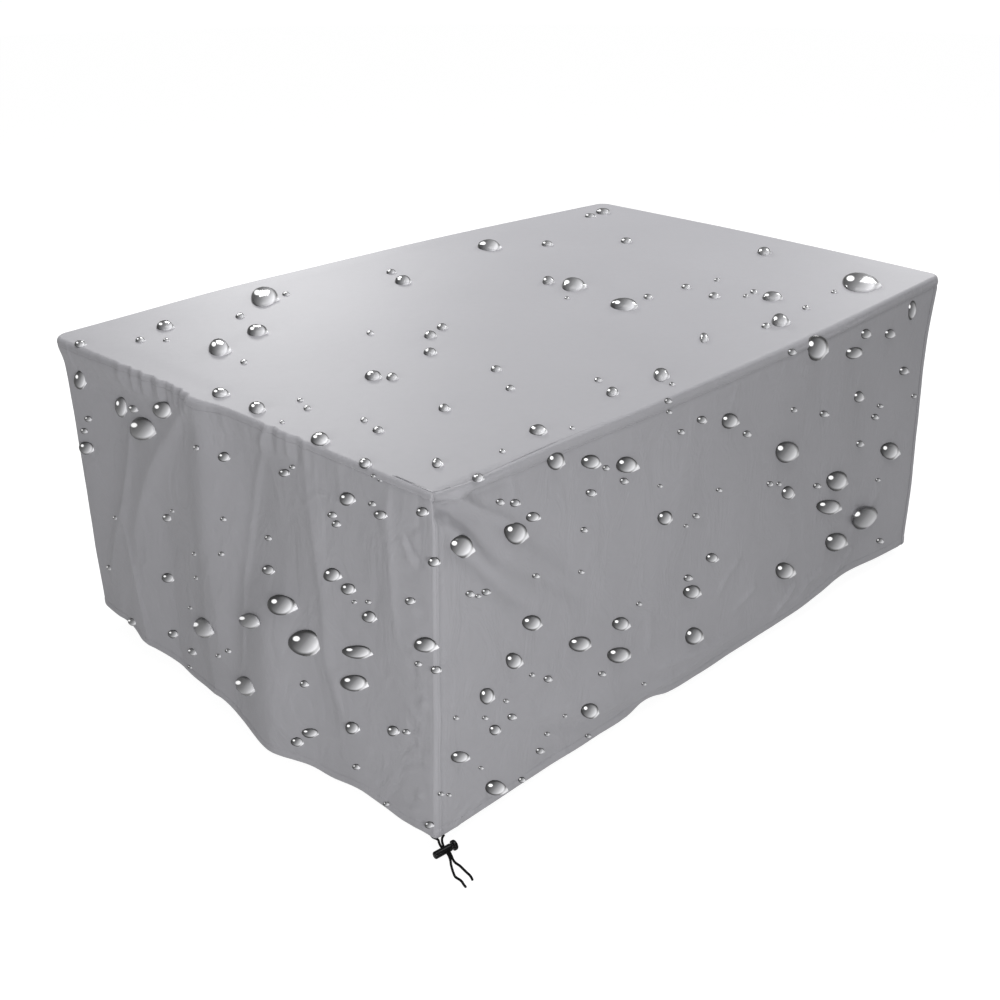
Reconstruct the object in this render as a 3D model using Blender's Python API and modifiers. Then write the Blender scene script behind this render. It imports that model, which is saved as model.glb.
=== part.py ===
"""Rectangular patio furniture cover of light coated cloth, draped as over a table.

Metres, +Z up.  X runs along the long side, Y along the short side.  The origin is the middle of
the top panel's underside, where the cover lies on what it covers.  Five sheets make the cover: a
top panel turned down as a lip over four walls.  The two end walls wrap the corners and lap over the
long walls.  A drawcord leaves the hem at the front left corner and runs through a cord lock that
lies in front of it.

Every sheet is one patch of the same draped surface.  A point of it is named by its station, the
place around the cover, and its drop, the depth below the top.
"""
import math
from collections import namedtuple

import bmesh
import bpy
from mathutils import Matrix, Vector

# Driving dimensions, metres.
LENGTH = 1.80
WIDTH = 1.20
CLOTH = 0.002
GAP = 0.0003
LAYER = CLOTH + GAP
FLOOR_Z = -0.750
HEM_HEIGHT = 0.022
HEM_THICK = 0.005
HEM_TURN = 0.004
SEAM_EDGE = 0.003
SEAM_RAMP = 0.010
SHOULDER = 0.012
ARC_STEPS = 5
ARC_LAPPED = 3
ROLL_STEPS = 3

# The box's sharp corners before rounding, counter-clockwise from above, and the rounding in plan.
Corner = namedtuple("Corner", "name top_x top_y hem_x hem_y hem_rise top_round hem_round")
CORNERS = (
    Corner("front_left", -0.901, -0.618, -0.904, -0.606, 0.022, 0.016, 0.018),
    Corner("front_right", 0.909, -0.578, 0.834, -0.632, 0.018, 0.024, 0.030),
    Corner("back_right", 0.912, 0.568, 0.880, 0.600, 0.026, 0.030, 0.034),
    Corner("back_left", -0.941, 0.597, -0.911, 0.620, 0.045, 0.034, 0.034),
)

# Each wall runs from its own corner to the next.  A lip is the lapped band below the shoulder.
Wall = namedtuple("Wall", "name span steps rows lip top_bow hem_bow")
WALLS = (
    Wall("front", LENGTH, 46, 6, 0.013, 0.017, -0.004),
    Wall("right", WIDTH, 24, 4, 0.006, 0.014, 0.020),
    Wall("back", LENGTH, 32, 4, 0.013, 0.045, 0.030),
    Wall("left", WIDTH, 42, 6, 0.006, 0.000, 0.024),
)
FRONT, RIGHT, BACK, LEFT = range(4)

# Soft bumps along the edges: where, how wide, and how far out, how much rounder, how much higher.
Swell = namedtuple("Swell", "wall along width edge_out rounder hem_rise")
SWELLS = (
    Swell(FRONT, 0.36, 0.15, -0.004, 0.000, -0.004),
    Swell(FRONT, 0.66, 0.05, 0.000, 0.000, 0.010),
    Swell(FRONT, 1.22, 0.30, 0.006, 0.012, 0.000),
    Swell(FRONT, 1.43, 0.23, 0.000, 0.000, 0.022),
    Swell(FRONT, 1.80, 0.24, 0.000, 0.004, 0.005),
    Swell(RIGHT, 0.00, 0.12, 0.000, 0.004, 0.005),
    Swell(RIGHT, 0.70, 0.16, 0.004, 0.004, 0.006),
    Swell(BACK, 0.60, 0.25, 0.004, 0.004, -0.006),
    Swell(BACK, 1.34, 0.22, 0.009, 0.000, 0.008),
    Swell(LEFT, 0.10, 0.12, 0.004, 0.006, 0.000),
    Swell(LEFT, 0.14, 0.06, 0.000, 0.000, 0.014),
    Swell(LEFT, 0.40, 0.07, 0.000, 0.000, -0.009),
    Swell(LEFT, 0.56, 0.05, 0.013, 0.008, 0.014),
    Swell(LEFT, 0.76, 0.10, 0.000, 0.000, -0.006),
    Swell(LEFT, 0.91, 0.04, 0.000, 0.000, -0.007),
    Swell(LEFT, 1.00, 0.04, 0.000, 0.000, 0.008),
    Swell(LEFT, 1.11, 0.035, 0.000, 0.000, -0.006),
)

# Folds as soft ridges (height > 0) and troughs (height < 0) along a line down a wall.  The line is
# bowed sideways at its middle; before and after are the widths of its flanks; tail is the share of
# the height that is left at the low end.
Fold = namedtuple("Fold", "wall along drop low_along low_drop bow before after height tail")
FOLDS = (
    # Left end: vertical folds that fall from the pinched top edge.
    Fold(LEFT, 0.50, 0.02, 0.235, 0.72, 0.105, 0.060, 0.070, 0.016, 1.0),
    Fold(LEFT, 0.23, 0.12, 0.110, 0.72, -0.005, 0.045, 0.050, 0.011, 1.0),
    Fold(LEFT, 0.37, 0.20, 0.370, 0.72, 0.010, 0.060, 0.060, -0.010, 0.8),
    Fold(LEFT, 0.51, 0.02, 0.545, 0.72, 0.000, 0.040, 0.115, 0.017, 0.8),
    Fold(LEFT, 0.74, 0.02, 0.620, 0.66, 0.015, 0.060, 0.050, -0.013, 0.3),
    Fold(LEFT, 0.86, 0.01, 0.955, 0.50, 0.010, 0.055, 0.080, 0.013, 1.0),
    Fold(LEFT, 0.955, 0.46, 1.190, 0.68, 0.030, 0.045, 0.060, 0.011, 0.4),
    Fold(LEFT, 1.08, 0.00, 1.130, 0.42, 0.000, 0.045, 0.050, 0.007, 0.3),
    Fold(LEFT, 0.77, 0.30, 0.760, 0.73, 0.000, 0.120, 0.100, 0.040, 1.0),
    # Front: a sag from the top corner, a long soft fold, and the hem's slow swing.
    Fold(FRONT, 0.02, 0.04, 0.450, 0.41, -0.045, 0.045, 0.040, -0.013, 0.2),
    Fold(FRONT, 0.10, 0.10, 0.430, 0.38, -0.020, 0.030, 0.030, 0.006, 0.2),
    Fold(FRONT, 0.73, 0.03, 0.655, 0.66, 0.010, 0.060, 0.090, 0.009, 0.6),
    Fold(FRONT, 0.25, 0.60, 1.000, 0.68, 0.000, 0.050, 0.050, 0.008, 0.5),
    Fold(FRONT, 0.20, 0.70, 0.620, 0.73, 0.000, 0.030, 0.030, -0.008, 0.3),
    Fold(FRONT, 0.90, 0.52, 1.360, 0.72, 0.020, 0.045, 0.050, 0.009, 0.6),
    Fold(FRONT, 1.15, 0.05, 1.280, 0.55, 0.000, 0.120, 0.120, -0.008, 0.5),
    Fold(FRONT, 1.52, 0.10, 1.500, 0.73, 0.000, 0.120, 0.100, -0.010, 1.0),
    # Right end and back: the same cloth, with folds of their own.
    Fold(RIGHT, 0.22, 0.03, 0.180, 0.73, 0.010, 0.070, 0.080, 0.015, 1.0),
    Fold(RIGHT, 0.50, 0.03, 0.430, 0.72, 0.020, 0.080, 0.080, -0.013, 0.8),
    Fold(RIGHT, 0.68, 0.02, 0.720, 0.73, -0.010, 0.080, 0.090, 0.018, 1.0),
    Fold(RIGHT, 0.97, 0.03, 0.930, 0.72, 0.000, 0.080, 0.080, 0.014, 0.9),
    Fold(BACK, 0.30, 0.03, 0.240, 0.73, 0.010, 0.090, 0.100, 0.014, 1.0),
    Fold(BACK, 0.62, 0.03, 0.660, 0.72, 0.000, 0.100, 0.100, -0.012, 0.8),
    Fold(BACK, 0.98, 0.03, 1.020, 0.73, -0.020, 0.100, 0.110, 0.018, 1.0),
    Fold(BACK, 1.36, 0.03, 1.300, 0.72, 0.010, 0.100, 0.100, -0.010, 0.7),
    Fold(BACK, 1.60, 0.05, 1.560, 0.73, 0.000, 0.080, 0.090, 0.012, 0.9),
)

# Cord lock: a barrel and a plunger with a round button, lying on the floor on its rims.
LOCK_END = Vector((-0.9280, -0.6240, FLOOR_Z + 0.0078))
LOCK_AIM = Vector((0.0440, -0.0068, 0.0027))
BARREL_RADIUS = 0.0075
BARREL_LENGTH = 0.0380
BARREL_FLOOR = 0.0050
BORE_RADIUS = 0.0053
BUTTON_RADIUS = 0.0104
BUTTON_LENGTH = 0.0095
STEM_RADIUS = 0.0050
TRAVEL = 0.0040
REACH_IN = 0.0260
SLOT_AT = 0.0262
SLOT_HEIGHT = 0.0060
LOCK_SIDES = 24

# Drawcord: the route's own points, from the hem's casing through the lock to the free tail.
CORD_RADIUS = 0.00225
CORD_STEP = 0.0045
CORD_PLAY = 0.0016
STRANDS = {
    "drawcord_left": (
        (-0.9014, -0.5862, -0.7303), (-0.9026, -0.5942, -0.7306), (-0.9005, -0.6003, -0.7314),
        (-0.8992, -0.6046, -0.7328), (-0.9012, -0.6088, -0.7351), (-0.9025, -0.6133, -0.7379),
        (-0.9033, -0.6187, -0.7398), (-0.9046, -0.6276, -0.7406), (-0.9060, -0.6366, -0.7406),
        (-0.9085, -0.6450, -0.7432), (-0.9115, -0.6512, -0.7462), (-0.9174, -0.6590, -0.7476),
        (-0.9246, -0.6699, -0.7476), (-0.9305, -0.6800, -0.7476), (-0.9346, -0.6891, -0.7476),
        (-0.9343, -0.6985, -0.7476), (-0.9348, -0.7066, -0.7476), (-0.9379, -0.7151, -0.7476),
        (-0.9398, -0.7232, -0.7476),
    ),
    "drawcord_right": (
        (-0.8826, -0.6036, -0.7303), (-0.8862, -0.6040, -0.7322), (-0.8915, -0.6072, -0.7325),
        (-0.8951, -0.6110, -0.7346), (-0.8972, -0.6151, -0.7376), (-0.8984, -0.6195, -0.7406),
        (-0.8997, -0.6284, -0.7403), (-0.9011, -0.6373, -0.7404), (-0.9036, -0.6457, -0.7432),
        (-0.9063, -0.6526, -0.7462), (-0.9082, -0.6613, -0.7476), (-0.9082, -0.6733, -0.7476),
        (-0.9101, -0.6861, -0.7476), (-0.9116, -0.6960, -0.7476), (-0.9128, -0.7048, -0.7476),
        (-0.9150, -0.7116, -0.7476), (-0.9183, -0.7184, -0.7476),
    ),
}

CLOTH_COLOUR = (0.34, 0.34, 0.36)
BLACK = (0.012, 0.012, 0.013)


# ------------------------------------------------------------------ the draped surface
def ease(value):
    """Smooth step from 0 to 1."""
    value = min(max(value, 0.0), 1.0)
    return value * value * (3.0 - 2.0 * value)


def bump(distance, width):
    """Round bump of height 1 that has died out at about two widths."""
    return math.exp(-((distance / width) ** 2))


def swell(wall, along, field):
    """Sum of one edge property of the swells on a wall."""
    rows = (row for row in SWELLS if row.wall == wall)
    return sum(getattr(row, field) * bump(along - row.along, row.width) for row in rows)


def fold_height(row, along, drop):
    """How far one fold lifts the cloth at a point of its wall."""
    run, fall = row.low_along - row.along, row.low_drop - row.drop
    length = math.hypot(run, fall)
    across, down = along - row.along, drop - row.drop
    share = (across * run + down * fall) / (length * length)
    inside = min(max(share, 0.0), 1.0)
    side = (across * fall - down * run) / length + row.bow * 4.0 * inside * (1.0 - inside)
    width = row.before if side < 0.0 else row.after
    fade = 1.0 - (1.0 - row.tail) * ease((share - 0.60) / 0.45)
    return row.height * bump(side, width) * ease(share / 0.35) * fade


def wall_offset(wall, along, drop, depth):
    """Outward travel of a wall's cloth from the straight line between its corners."""
    data = WALLS[wall]
    share = drop / depth
    arch = math.sin(math.pi * min(max(along / data.span, 0.0), 1.0))
    bow = arch * (data.top_bow * (1.0 - share) + data.hem_bow * share)
    edge = swell(wall, along, "edge_out") * (1.0 - ease(drop / 0.25))
    folds = sum(fold_height(row, along, drop) for row in FOLDS if row.wall == wall)
    return bow + edge + folds


Station = namedtuple("Station", "wall along turn")


def arc_along(wall, turn, radius):
    """Where a corner's arc point lies on the wall that starts there and on the one that ends."""
    quarter = 0.5 * math.pi * radius
    return radius - (1.0 - turn) * quarter, WALLS[wall - 1].span - radius + turn * quarter


def blend(station, depth_share, function):
    """A wall property at a station; on an arc it passes from one wall's value to the next."""
    if station.turn is None:
        return function(station.wall, station.along)
    corner = CORNERS[station.wall]
    radius = corner.top_round + (corner.hem_round - corner.top_round) * depth_share
    here, there = arc_along(station.wall, station.turn, radius)
    share = ease(station.turn)
    before = (station.wall - 1) % 4
    return function(station.wall, here) * share + function(before, there) * (1.0 - share)


def hem_depth(station):
    """Depth of the hem's lower edge below the top at a station."""
    start = CORNERS[station.wall].hem_rise
    if station.turn is None:
        end = CORNERS[(station.wall + 1) % 4].hem_rise
        start += (end - start) * station.along / WALLS[station.wall].span
    rise = blend(station, 1.0, lambda wall, along: swell(wall, along, "hem_rise"))
    return CLOTH - (FLOOR_Z + start + rise)


def shoulder(station):
    """Radius of the rolled edge between the top and the wall."""
    extra = blend(station, 0.0, lambda wall, along: swell(wall, along, "rounder"))
    return SHOULDER + extra


def lip_depth(station):
    """Depth of the lip's lower edge."""
    lip = blend(station, 0.0, lambda wall, along: WALLS[wall].lip)
    return shoulder(station) + lip


def corner_point(index, share):
    """Sharp corner of the plan outline at a share of the depth."""
    corner = CORNERS[index % 4]
    top, hem = Vector((corner.top_x, corner.top_y)), Vector((corner.hem_x, corner.hem_y))
    return top.lerp(hem, share)


def plan_point(station, share):
    """Plan point and outward normal of the unfolded box at a share of the depth."""
    here = corner_point(station.wall, share)
    ahead = (corner_point(station.wall + 1, share) - here).normalized()
    if station.turn is None:
        goal = corner_point(station.wall + 1, share)
        point = here.lerp(goal, station.along / WALLS[station.wall].span)
        return point, Vector((ahead.y, -ahead.x))
    behind = (here - corner_point(station.wall - 1, share)).normalized()
    corner = CORNERS[station.wall]
    radius = corner.top_round + (corner.hem_round - corner.top_round) * share
    angle = math.acos(max(-1.0, min(1.0, behind.dot(ahead))))
    normal = Vector((behind.y, -behind.x))
    centre = here - behind * radius * math.tan(0.5 * angle) - normal * radius
    spin = Matrix.Rotation(angle * station.turn, 2)
    normal = spin @ normal
    return centre + normal * radius, normal


def cloth_point(station, drop, inset=0.0):
    """Point of the cover's outer face; inset moves it inward in plan."""
    depth = hem_depth(station)
    share = drop / depth
    plan, normal = plan_point(station, share)
    out = blend(station, share, lambda wall, along: wall_offset(wall, along, drop, depth))
    plan = plan + normal * (out - inset)
    return Vector((plan.x, plan.y, CLOTH - drop))


def under_layer(station, drop, layers):
    """Point of the face that lies a number of layers under the outer face."""
    if layers <= 0.0:
        return cloth_point(station, drop)
    step = 0.002
    here = cloth_point(station, drop)
    down = cloth_point(station, drop + step) - here
    _plan, normal = plan_point(station, drop / hem_depth(station))
    side = Vector((-normal.y, normal.x, 0.0))
    if station.turn is None:
        moved = Station(station.wall, station.along + step, None)
        side = cloth_point(moved, drop) - here
    face = side.cross(-down).normalized()
    return here + Vector((-face.x, -face.y, -face.z)) * layers * LAYER


# ------------------------------------------------------------------ stations around the cover
def seam_places(index):
    """Distances from a corner to the lap's free edge and to where the wall is flush again."""
    corner = CORNERS[index % 4]
    edge = max(corner.top_round, corner.hem_round) + SEAM_EDGE
    return [edge, edge + SEAM_RAMP]


def wall_stations(index):
    """Stations between the two arcs of a wall, finer where the corner seams lie."""
    data = WALLS[index]
    near, far = seam_places(index), seam_places(index + 1)
    first, last = near[-1], data.span - far[-1]
    middle = [first + (last - first) * step / data.steps for step in range(1, data.steps)]
    places = near + middle + [data.span - place for place in reversed(far)]
    return [Station(index, place, None) for place in places]


def arc_stations(index):
    """Stations around the corner where a wall starts."""
    return [Station(index % 4, 0.0, step / ARC_STEPS) for step in range(ARC_STEPS + 1)]


def all_stations():
    """Every station once around, from the arc at the front left corner."""
    return [item for index in range(4) for item in arc_stations(index) + wall_stations(index)]


# ------------------------------------------------------------------ meshes and objects
def make_material(name, colour, roughness):
    """Principled material with the part's own colour."""
    material = bpy.data.materials.new(name)
    material.use_nodes = True
    shader = material.node_tree.nodes["Principled BSDF"]
    shader.inputs["Base Color"].default_value = (*colour, 1.0)
    shader.inputs["Roughness"].default_value = roughness
    return material


def add_object(name, bm, material, collection):
    """Object of its own from a bmesh, shaded smooth."""
    mesh = bpy.data.meshes.new(name)
    bm.to_mesh(mesh)
    bm.free()
    mesh.materials.append(material)
    mesh.shade_smooth()
    item = bpy.data.objects.new(name, mesh)
    collection.objects.link(item)
    return item


def grid_patch(stations, rows, place):
    """Open sheet from a grid, and each point's column and row; place gives their positions."""
    bm = bmesh.new()
    across, down = len(stations) - 1, rows - 1
    bmesh.ops.create_grid(bm, x_segments=across, y_segments=down, size=1.0)
    slots = []
    for vertex in bm.verts:
        column = round((vertex.co.x + 1.0) * 0.5 * across)
        row = round((1.0 - vertex.co.y) * 0.5 * down)
        vertex.co = place(column, row)
        slots.append((column, row))
    return bm, slots


def add_thickness(item, thickness, thin_share=None):
    """Solidify inward; with a thin share the sheet is that much thinner outside its hem."""
    shell = item.modifiers.new("Cloth", "SOLIDIFY")
    shell.thickness = thickness
    shell.offset = -1.0
    shell.use_even_offset = True
    shell.use_quality_normals = True
    if thin_share is not None:
        shell.vertex_group = "hem"
        shell.thickness_vertex_group = thin_share


def face_outward(bm):
    """Turn the sheet's faces to the outside of the cover."""
    bm.normal_update()
    away = sum(face.normal.dot(face.calc_center_median()) for face in bm.faces)
    if away < 0.0:
        bmesh.ops.reverse_faces(bm, faces=bm.faces[:])


def make_top(material, collection):
    """Top panel: flat sheet, rolled edge and the lip that laps over the walls."""
    stations = all_stations()
    ring = stations + stations[:1]
    rows = ROLL_STEPS + 2

    def place(column, row):
        station = ring[column]
        if row == rows - 1:
            return cloth_point(station, lip_depth(station))
        radius = shoulder(station)
        angle = 0.5 * math.pi * row / ROLL_STEPS
        drop = radius * (1.0 - math.cos(angle))
        return cloth_point(station, drop, radius * (1.0 - math.sin(angle)))

    bm, _slots = grid_patch(ring, rows, place)
    bmesh.ops.remove_doubles(bm, verts=bm.verts, dist=0.00001)
    level = [edge for edge in bm.edges if edge.is_boundary]
    level = [edge for edge in level if all(abs(v.co.z - CLOTH) < 1e-6 for v in edge.verts)]
    bmesh.ops.contextual_create(bm, geom=level)
    bmesh.ops.recalc_face_normals(bm, faces=bm.faces[:])
    face_outward(bm)
    item = add_object("top_panel", bm, material, collection)
    add_thickness(item, CLOTH)
    return item


def wall_rows(station, count):
    """Drops of a wall's rows at a station, from under the lip to the hem."""
    depth = hem_depth(station)
    lip = lip_depth(station)
    start, end = lip + SEAM_RAMP, depth - HEM_HEIGHT - HEM_TURN
    middle = [start + (end - start) * step / count for step in range(count + 1)]
    return [shoulder(station) + 0.001, lip] + middle + [depth - HEM_HEIGHT, depth]


def make_wall(name, own, stations, laps, material, collection):
    """One wall; laps holds, for each station, how many layers lie over it at the corner seams."""
    table = [wall_rows(station, WALLS[own].rows) for station in stations]
    rows = len(table[0])

    def place(column, row):
        over = 1 if row < 2 else 0
        return under_layer(stations[column], table[column][row], laps[column] + over)

    bm, slots = grid_patch(stations, rows, place)
    face_outward(bm)
    full = [has_full_hem(station, own) for station in stations]
    casing = [number for number, (column, row) in enumerate(slots)
              if row >= rows - 2 and full[column]]
    item = add_object(name, bm, material, collection)
    group = item.vertex_groups.new(name="hem")
    group.add(casing, 1.0, "REPLACE")
    add_thickness(item, HEM_THICK, CLOTH / HEM_THICK)


def has_full_hem(station, own):
    """The hem's casing is full along its own wall and flat where it goes under a lap."""
    if station.turn is not None or station.wall != own:
        return False
    if own in (RIGHT, LEFT):
        return True
    near, far = seam_places(own)[0], seam_places(own + 1)[0]
    return near + GAP < station.along < WALLS[own].span - far - GAP


def make_walls(material, collection):
    """Long walls start under the laps at the corners; end walls go around them."""
    for index, name in ((FRONT, "long_panel_front"), (BACK, "long_panel_back")):
        before = arc_stations(index)[-ARC_LAPPED:]
        after = arc_stations(index + 1)[:ARC_LAPPED]
        stations = before + wall_stations(index) + after
        laps = [0] * len(stations)
        for place in range(ARC_LAPPED + 1):
            laps[place] = laps[-1 - place] = 1
        make_wall(name, index, stations, laps, material, collection)
    for index, name in ((RIGHT, "end_panel_right"), (LEFT, "end_panel_left")):
        stations = wall_stations(index - 1)[-1:] + arc_stations(index) + wall_stations(index)
        stations += arc_stations(index + 1) + wall_stations((index + 1) % 4)[:1]
        make_wall(name, index, stations, [0] * len(stations), material, collection)


# ------------------------------------------------------------------ cord and cord lock
def smooth_route(points, step):
    """Points at about even steps along a Catmull-Rom curve through the route's points."""
    knots = [Vector(point) for point in points]
    knots = [2.0 * knots[0] - knots[1]] + knots + [2.0 * knots[-1] - knots[-2]]
    dense = []
    for index in range(1, len(knots) - 2):
        p0, p1, p2, p3 = knots[index - 1:index + 3]
        for part in range(12):
            t = part / 12.0
            a = 2.0 * p1 + (p2 - p0) * t
            b = (2.0 * p0 - 5.0 * p1 + 4.0 * p2 - p3) * t * t
            c = (3.0 * p1 - p0 - 3.0 * p2 + p3) * t * t * t
            dense.append(0.5 * (a + b + c))
    dense.append(knots[-2])
    total = sum((b - a).length for a, b in zip(dense, dense[1:]))
    count = max(2, round(total / step))
    spaced, walked, target = [dense[0]], 0.0, total / count
    for a, b in zip(dense, dense[1:]):
        reach = (b - a).length
        while walked + reach >= target and len(spaced) < count:
            spaced.append(a.lerp(b, (target - walked) / reach))
            target += total / count
        walked += reach
    return spaced + [dense[-1]]


def make_cord(name, points, material, collection):
    """Round cord as a poly spline with a bevel."""
    curve = bpy.data.curves.new(name, "CURVE")
    curve.dimensions = "3D"
    curve.bevel_depth = CORD_RADIUS
    curve.bevel_resolution = 2
    curve.use_fill_caps = True
    route = smooth_route(points, CORD_STEP)
    spline = curve.splines.new("POLY")
    spline.points.add(len(route) - 1)
    for slot, point in zip(spline.points, route):
        slot.co = (*point, 1.0)
    curve.materials.append(material)
    item = bpy.data.objects.new(name, curve)
    collection.objects.link(item)
    return item


def turned(name, profile, material, collection, parent):
    """Closed turned piece about local X from (place, radius) pairs, on the lock's axis."""
    bm = bmesh.new()
    points = [bm.verts.new((place, 0.0, radius)) for place, radius in profile]
    for first, second in zip(points, points[1:]):
        bm.edges.new((first, second))
    item = add_object(name, bm, material, collection)
    screw = item.modifiers.new("Turn", "SCREW")
    screw.axis = "X"
    screw.steps = LOCK_SIDES
    screw.render_steps = LOCK_SIDES
    screw.use_merge_vertices = True
    screw.merge_threshold = 0.00001
    screw.use_normal_calculate = True
    item.parent = parent
    return item


def cut_slot(item, start, end, height, material, cutters, parent):
    """Cross slot for the two cords: a box through the piece with its long side on the axis."""
    bm = bmesh.new()
    size = Matrix.Diagonal((end - start, 0.05, height, 1.0))
    shift = Matrix.Translation((0.5 * (start + end), 0.0, 0.0))
    bmesh.ops.create_cube(bm, size=1.0, matrix=shift @ size)
    cutter = add_object(item.name + "_slot", bm, material, cutters)
    cutter.parent = parent
    cutter.hide_render = True
    cutter.display_type = "WIRE"
    cut = item.modifiers.new("Slot", "BOOLEAN")
    cut.operation = "DIFFERENCE"
    cut.solver = "EXACT"
    cut.object = cutter


def make_lock(material, collection, cutters):
    """Cord lock with its axis along local X: barrel from 0, button at the far end."""
    axis = bpy.data.objects.new("cord_lock_axis", None)
    axis.location = LOCK_END
    axis.rotation_mode = "QUATERNION"
    axis.rotation_quaternion = LOCK_AIM.to_track_quat("X", "Z")
    collection.objects.link(axis)
    wide = 4.0 * CORD_RADIUS + CORD_PLAY
    rim = 0.0012
    barrel = turned("cord_lock_barrel", (
        (0.0, 0.0), (0.0, BARREL_RADIUS - 0.0030), (0.0008, BARREL_RADIUS - 0.0012),
        (0.0026, BARREL_RADIUS), (BARREL_LENGTH - rim, BARREL_RADIUS),
        (BARREL_LENGTH, BARREL_RADIUS - rim), (BARREL_LENGTH, BORE_RADIUS),
        (BARREL_FLOOR, BORE_RADIUS), (BARREL_FLOOR, 0.0),
    ), material, collection, axis)
    cut_slot(barrel, SLOT_AT - 0.5 * wide, SLOT_AT + 0.5 * wide, SLOT_HEIGHT, material, cutters, axis)
    face = BARREL_LENGTH + TRAVEL + GAP
    button = face + BUTTON_LENGTH
    inner = face - TRAVEL - REACH_IN
    plunger = turned("cord_lock_plunger", (
        (inner, 0.0), (inner, STEM_RADIUS - 0.0008), (inner + 0.0008, STEM_RADIUS),
        (face, STEM_RADIUS), (face, BUTTON_RADIUS - 0.0012), (face + 0.0012, BUTTON_RADIUS),
        (button - 0.0036, BUTTON_RADIUS), (button - 0.0012, BUTTON_RADIUS - 0.0018),
        (button, BUTTON_RADIUS - 0.0050), (button, 0.0),
    ), material, collection, axis)
    cut_slot(plunger, SLOT_AT - 0.5 * wide, SLOT_AT + 0.5 * wide + TRAVEL, SLOT_HEIGHT, material,
             cutters, axis)


# ------------------------------------------------------------------ the part
def new_collection(name):
    """Collection linked to the scene."""
    collection = bpy.data.collections.new(name)
    bpy.context.scene.collection.children.link(collection)
    return collection


def main():
    """Model the cover, its drawcord and its cord lock."""
    for item in list(bpy.data.objects):
        bpy.data.objects.remove(item, do_unlink=True)
    part = new_collection("patio_furniture_cover")
    cutters = new_collection("cutters")
    cloth = make_material("coated_cloth", CLOTH_COLOUR, 0.55)
    cord = make_material("elastic_cord", BLACK, 0.80)
    plastic = make_material("black_plastic", BLACK, 0.35)
    make_top(cloth, part)
    make_walls(cloth, part)
    for name, points in STRANDS.items():
        make_cord(name, points, cord, part)
    make_lock(plastic, part, cutters)


main()
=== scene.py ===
"""Looks of the patio furniture cover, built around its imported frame.

The cover is five sheets of light grey coated cloth: a top panel turned down as a lip, two long walls
and two end walls that wrap the corners.  Every sheet is one patch of the same draped surface.  A point
of it is named by its station, the place around the cover, and its drop, the depth below the top.  A
drawcord leaves the hem at the front left corner and runs through a barrel cord lock, and the cloth is
beaded with water.  Metres, +Z up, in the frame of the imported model; tables say where they hold
millimetres.
"""
import logging
import math
from dataclasses import dataclass, field
from enum import Enum, IntEnum
from typing import Callable, Optional, Sequence

import bmesh
import bpy
import numpy as np
from mathutils import Matrix, Vector
from mathutils.bvhtree import BVHTree


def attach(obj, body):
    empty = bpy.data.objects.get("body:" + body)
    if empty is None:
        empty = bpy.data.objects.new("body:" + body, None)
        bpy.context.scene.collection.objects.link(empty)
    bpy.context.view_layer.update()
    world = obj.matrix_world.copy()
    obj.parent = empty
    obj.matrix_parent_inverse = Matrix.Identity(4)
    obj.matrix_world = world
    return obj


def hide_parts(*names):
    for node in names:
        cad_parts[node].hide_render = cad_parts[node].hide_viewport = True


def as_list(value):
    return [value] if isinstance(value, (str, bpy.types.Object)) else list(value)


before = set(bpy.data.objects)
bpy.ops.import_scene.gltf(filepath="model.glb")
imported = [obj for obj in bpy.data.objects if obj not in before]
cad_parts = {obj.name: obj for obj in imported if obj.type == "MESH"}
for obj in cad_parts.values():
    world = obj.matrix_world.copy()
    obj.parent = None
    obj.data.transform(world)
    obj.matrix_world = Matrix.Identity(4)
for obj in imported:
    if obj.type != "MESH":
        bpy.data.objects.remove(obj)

log = logging.getLogger("cover")

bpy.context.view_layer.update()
FLOOR_Z = -0.750
COVER_BODY = "cover"
PLUNGER_BODY = "lock_plunger"

# Driving sizes of the cover and its cloth.
LENGTH = 1.80
WIDTH = 1.20
DROP = 0.74
TOP_Z = 0.002
CLOTH = 0.0010
LAYER = 0.0013
HEM_HEIGHT = 0.022
HEM_THICK = 0.0045
SHOULDER = 0.0075
LAP_PAST = 0.003

# A fold's cross-section, and the shares of its length where it rises and where it fades (from, over).
CREST_TOP, CREST_ROUND, CREST_POWER = 0.0532, 0.020, 0.75
FOLD_RISE, FOLD_FADE = 0.35, (0.60, 0.45)
CREASE_RISE, CREASE_FADE = 0.16, (0.66, 0.34)


class Side(IntEnum):
    """The cover's four sides, counter-clockwise from above; a side starts at its own corner."""

    FRONT = 0
    RIGHT = 1
    BACK = 2
    LEFT = 3

    def before(self) -> "Side":
        """The side that ends where this one starts."""
        return Side((self + 3) % 4)

    def after(self) -> "Side":
        """The side that starts where this one ends."""
        return Side((self + 1) % 4)


class Cut(Enum):
    """How a wall of the cover is cut and joined."""

    UNDER = "long wall that goes under the end walls' laps"
    OVER = "end wall that wraps the corners"


def ease(value: np.ndarray) -> np.ndarray:
    """Smooth step from 0 to 1."""
    value = np.clip(value, 0.0, 1.0)
    return value * value * (3.0 - 2.0 * value)


def bump(distance: np.ndarray, width: np.ndarray) -> np.ndarray:
    """Round bump of height 1 that has died out at about two widths."""
    return np.exp(-((distance / width) ** 2))


def crest(distance: np.ndarray, width: np.ndarray) -> np.ndarray:
    """Bump of height 1 with a narrow crest and straighter flanks, as folded cloth has."""
    return np.exp(CREST_TOP - ((distance / width) ** 2 + CREST_ROUND) ** CREST_POWER)


def unit(rows: np.ndarray) -> np.ndarray:
    """Rows scaled to length 1."""
    return rows / np.linalg.norm(rows, axis=-1, keepdims=True)


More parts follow.
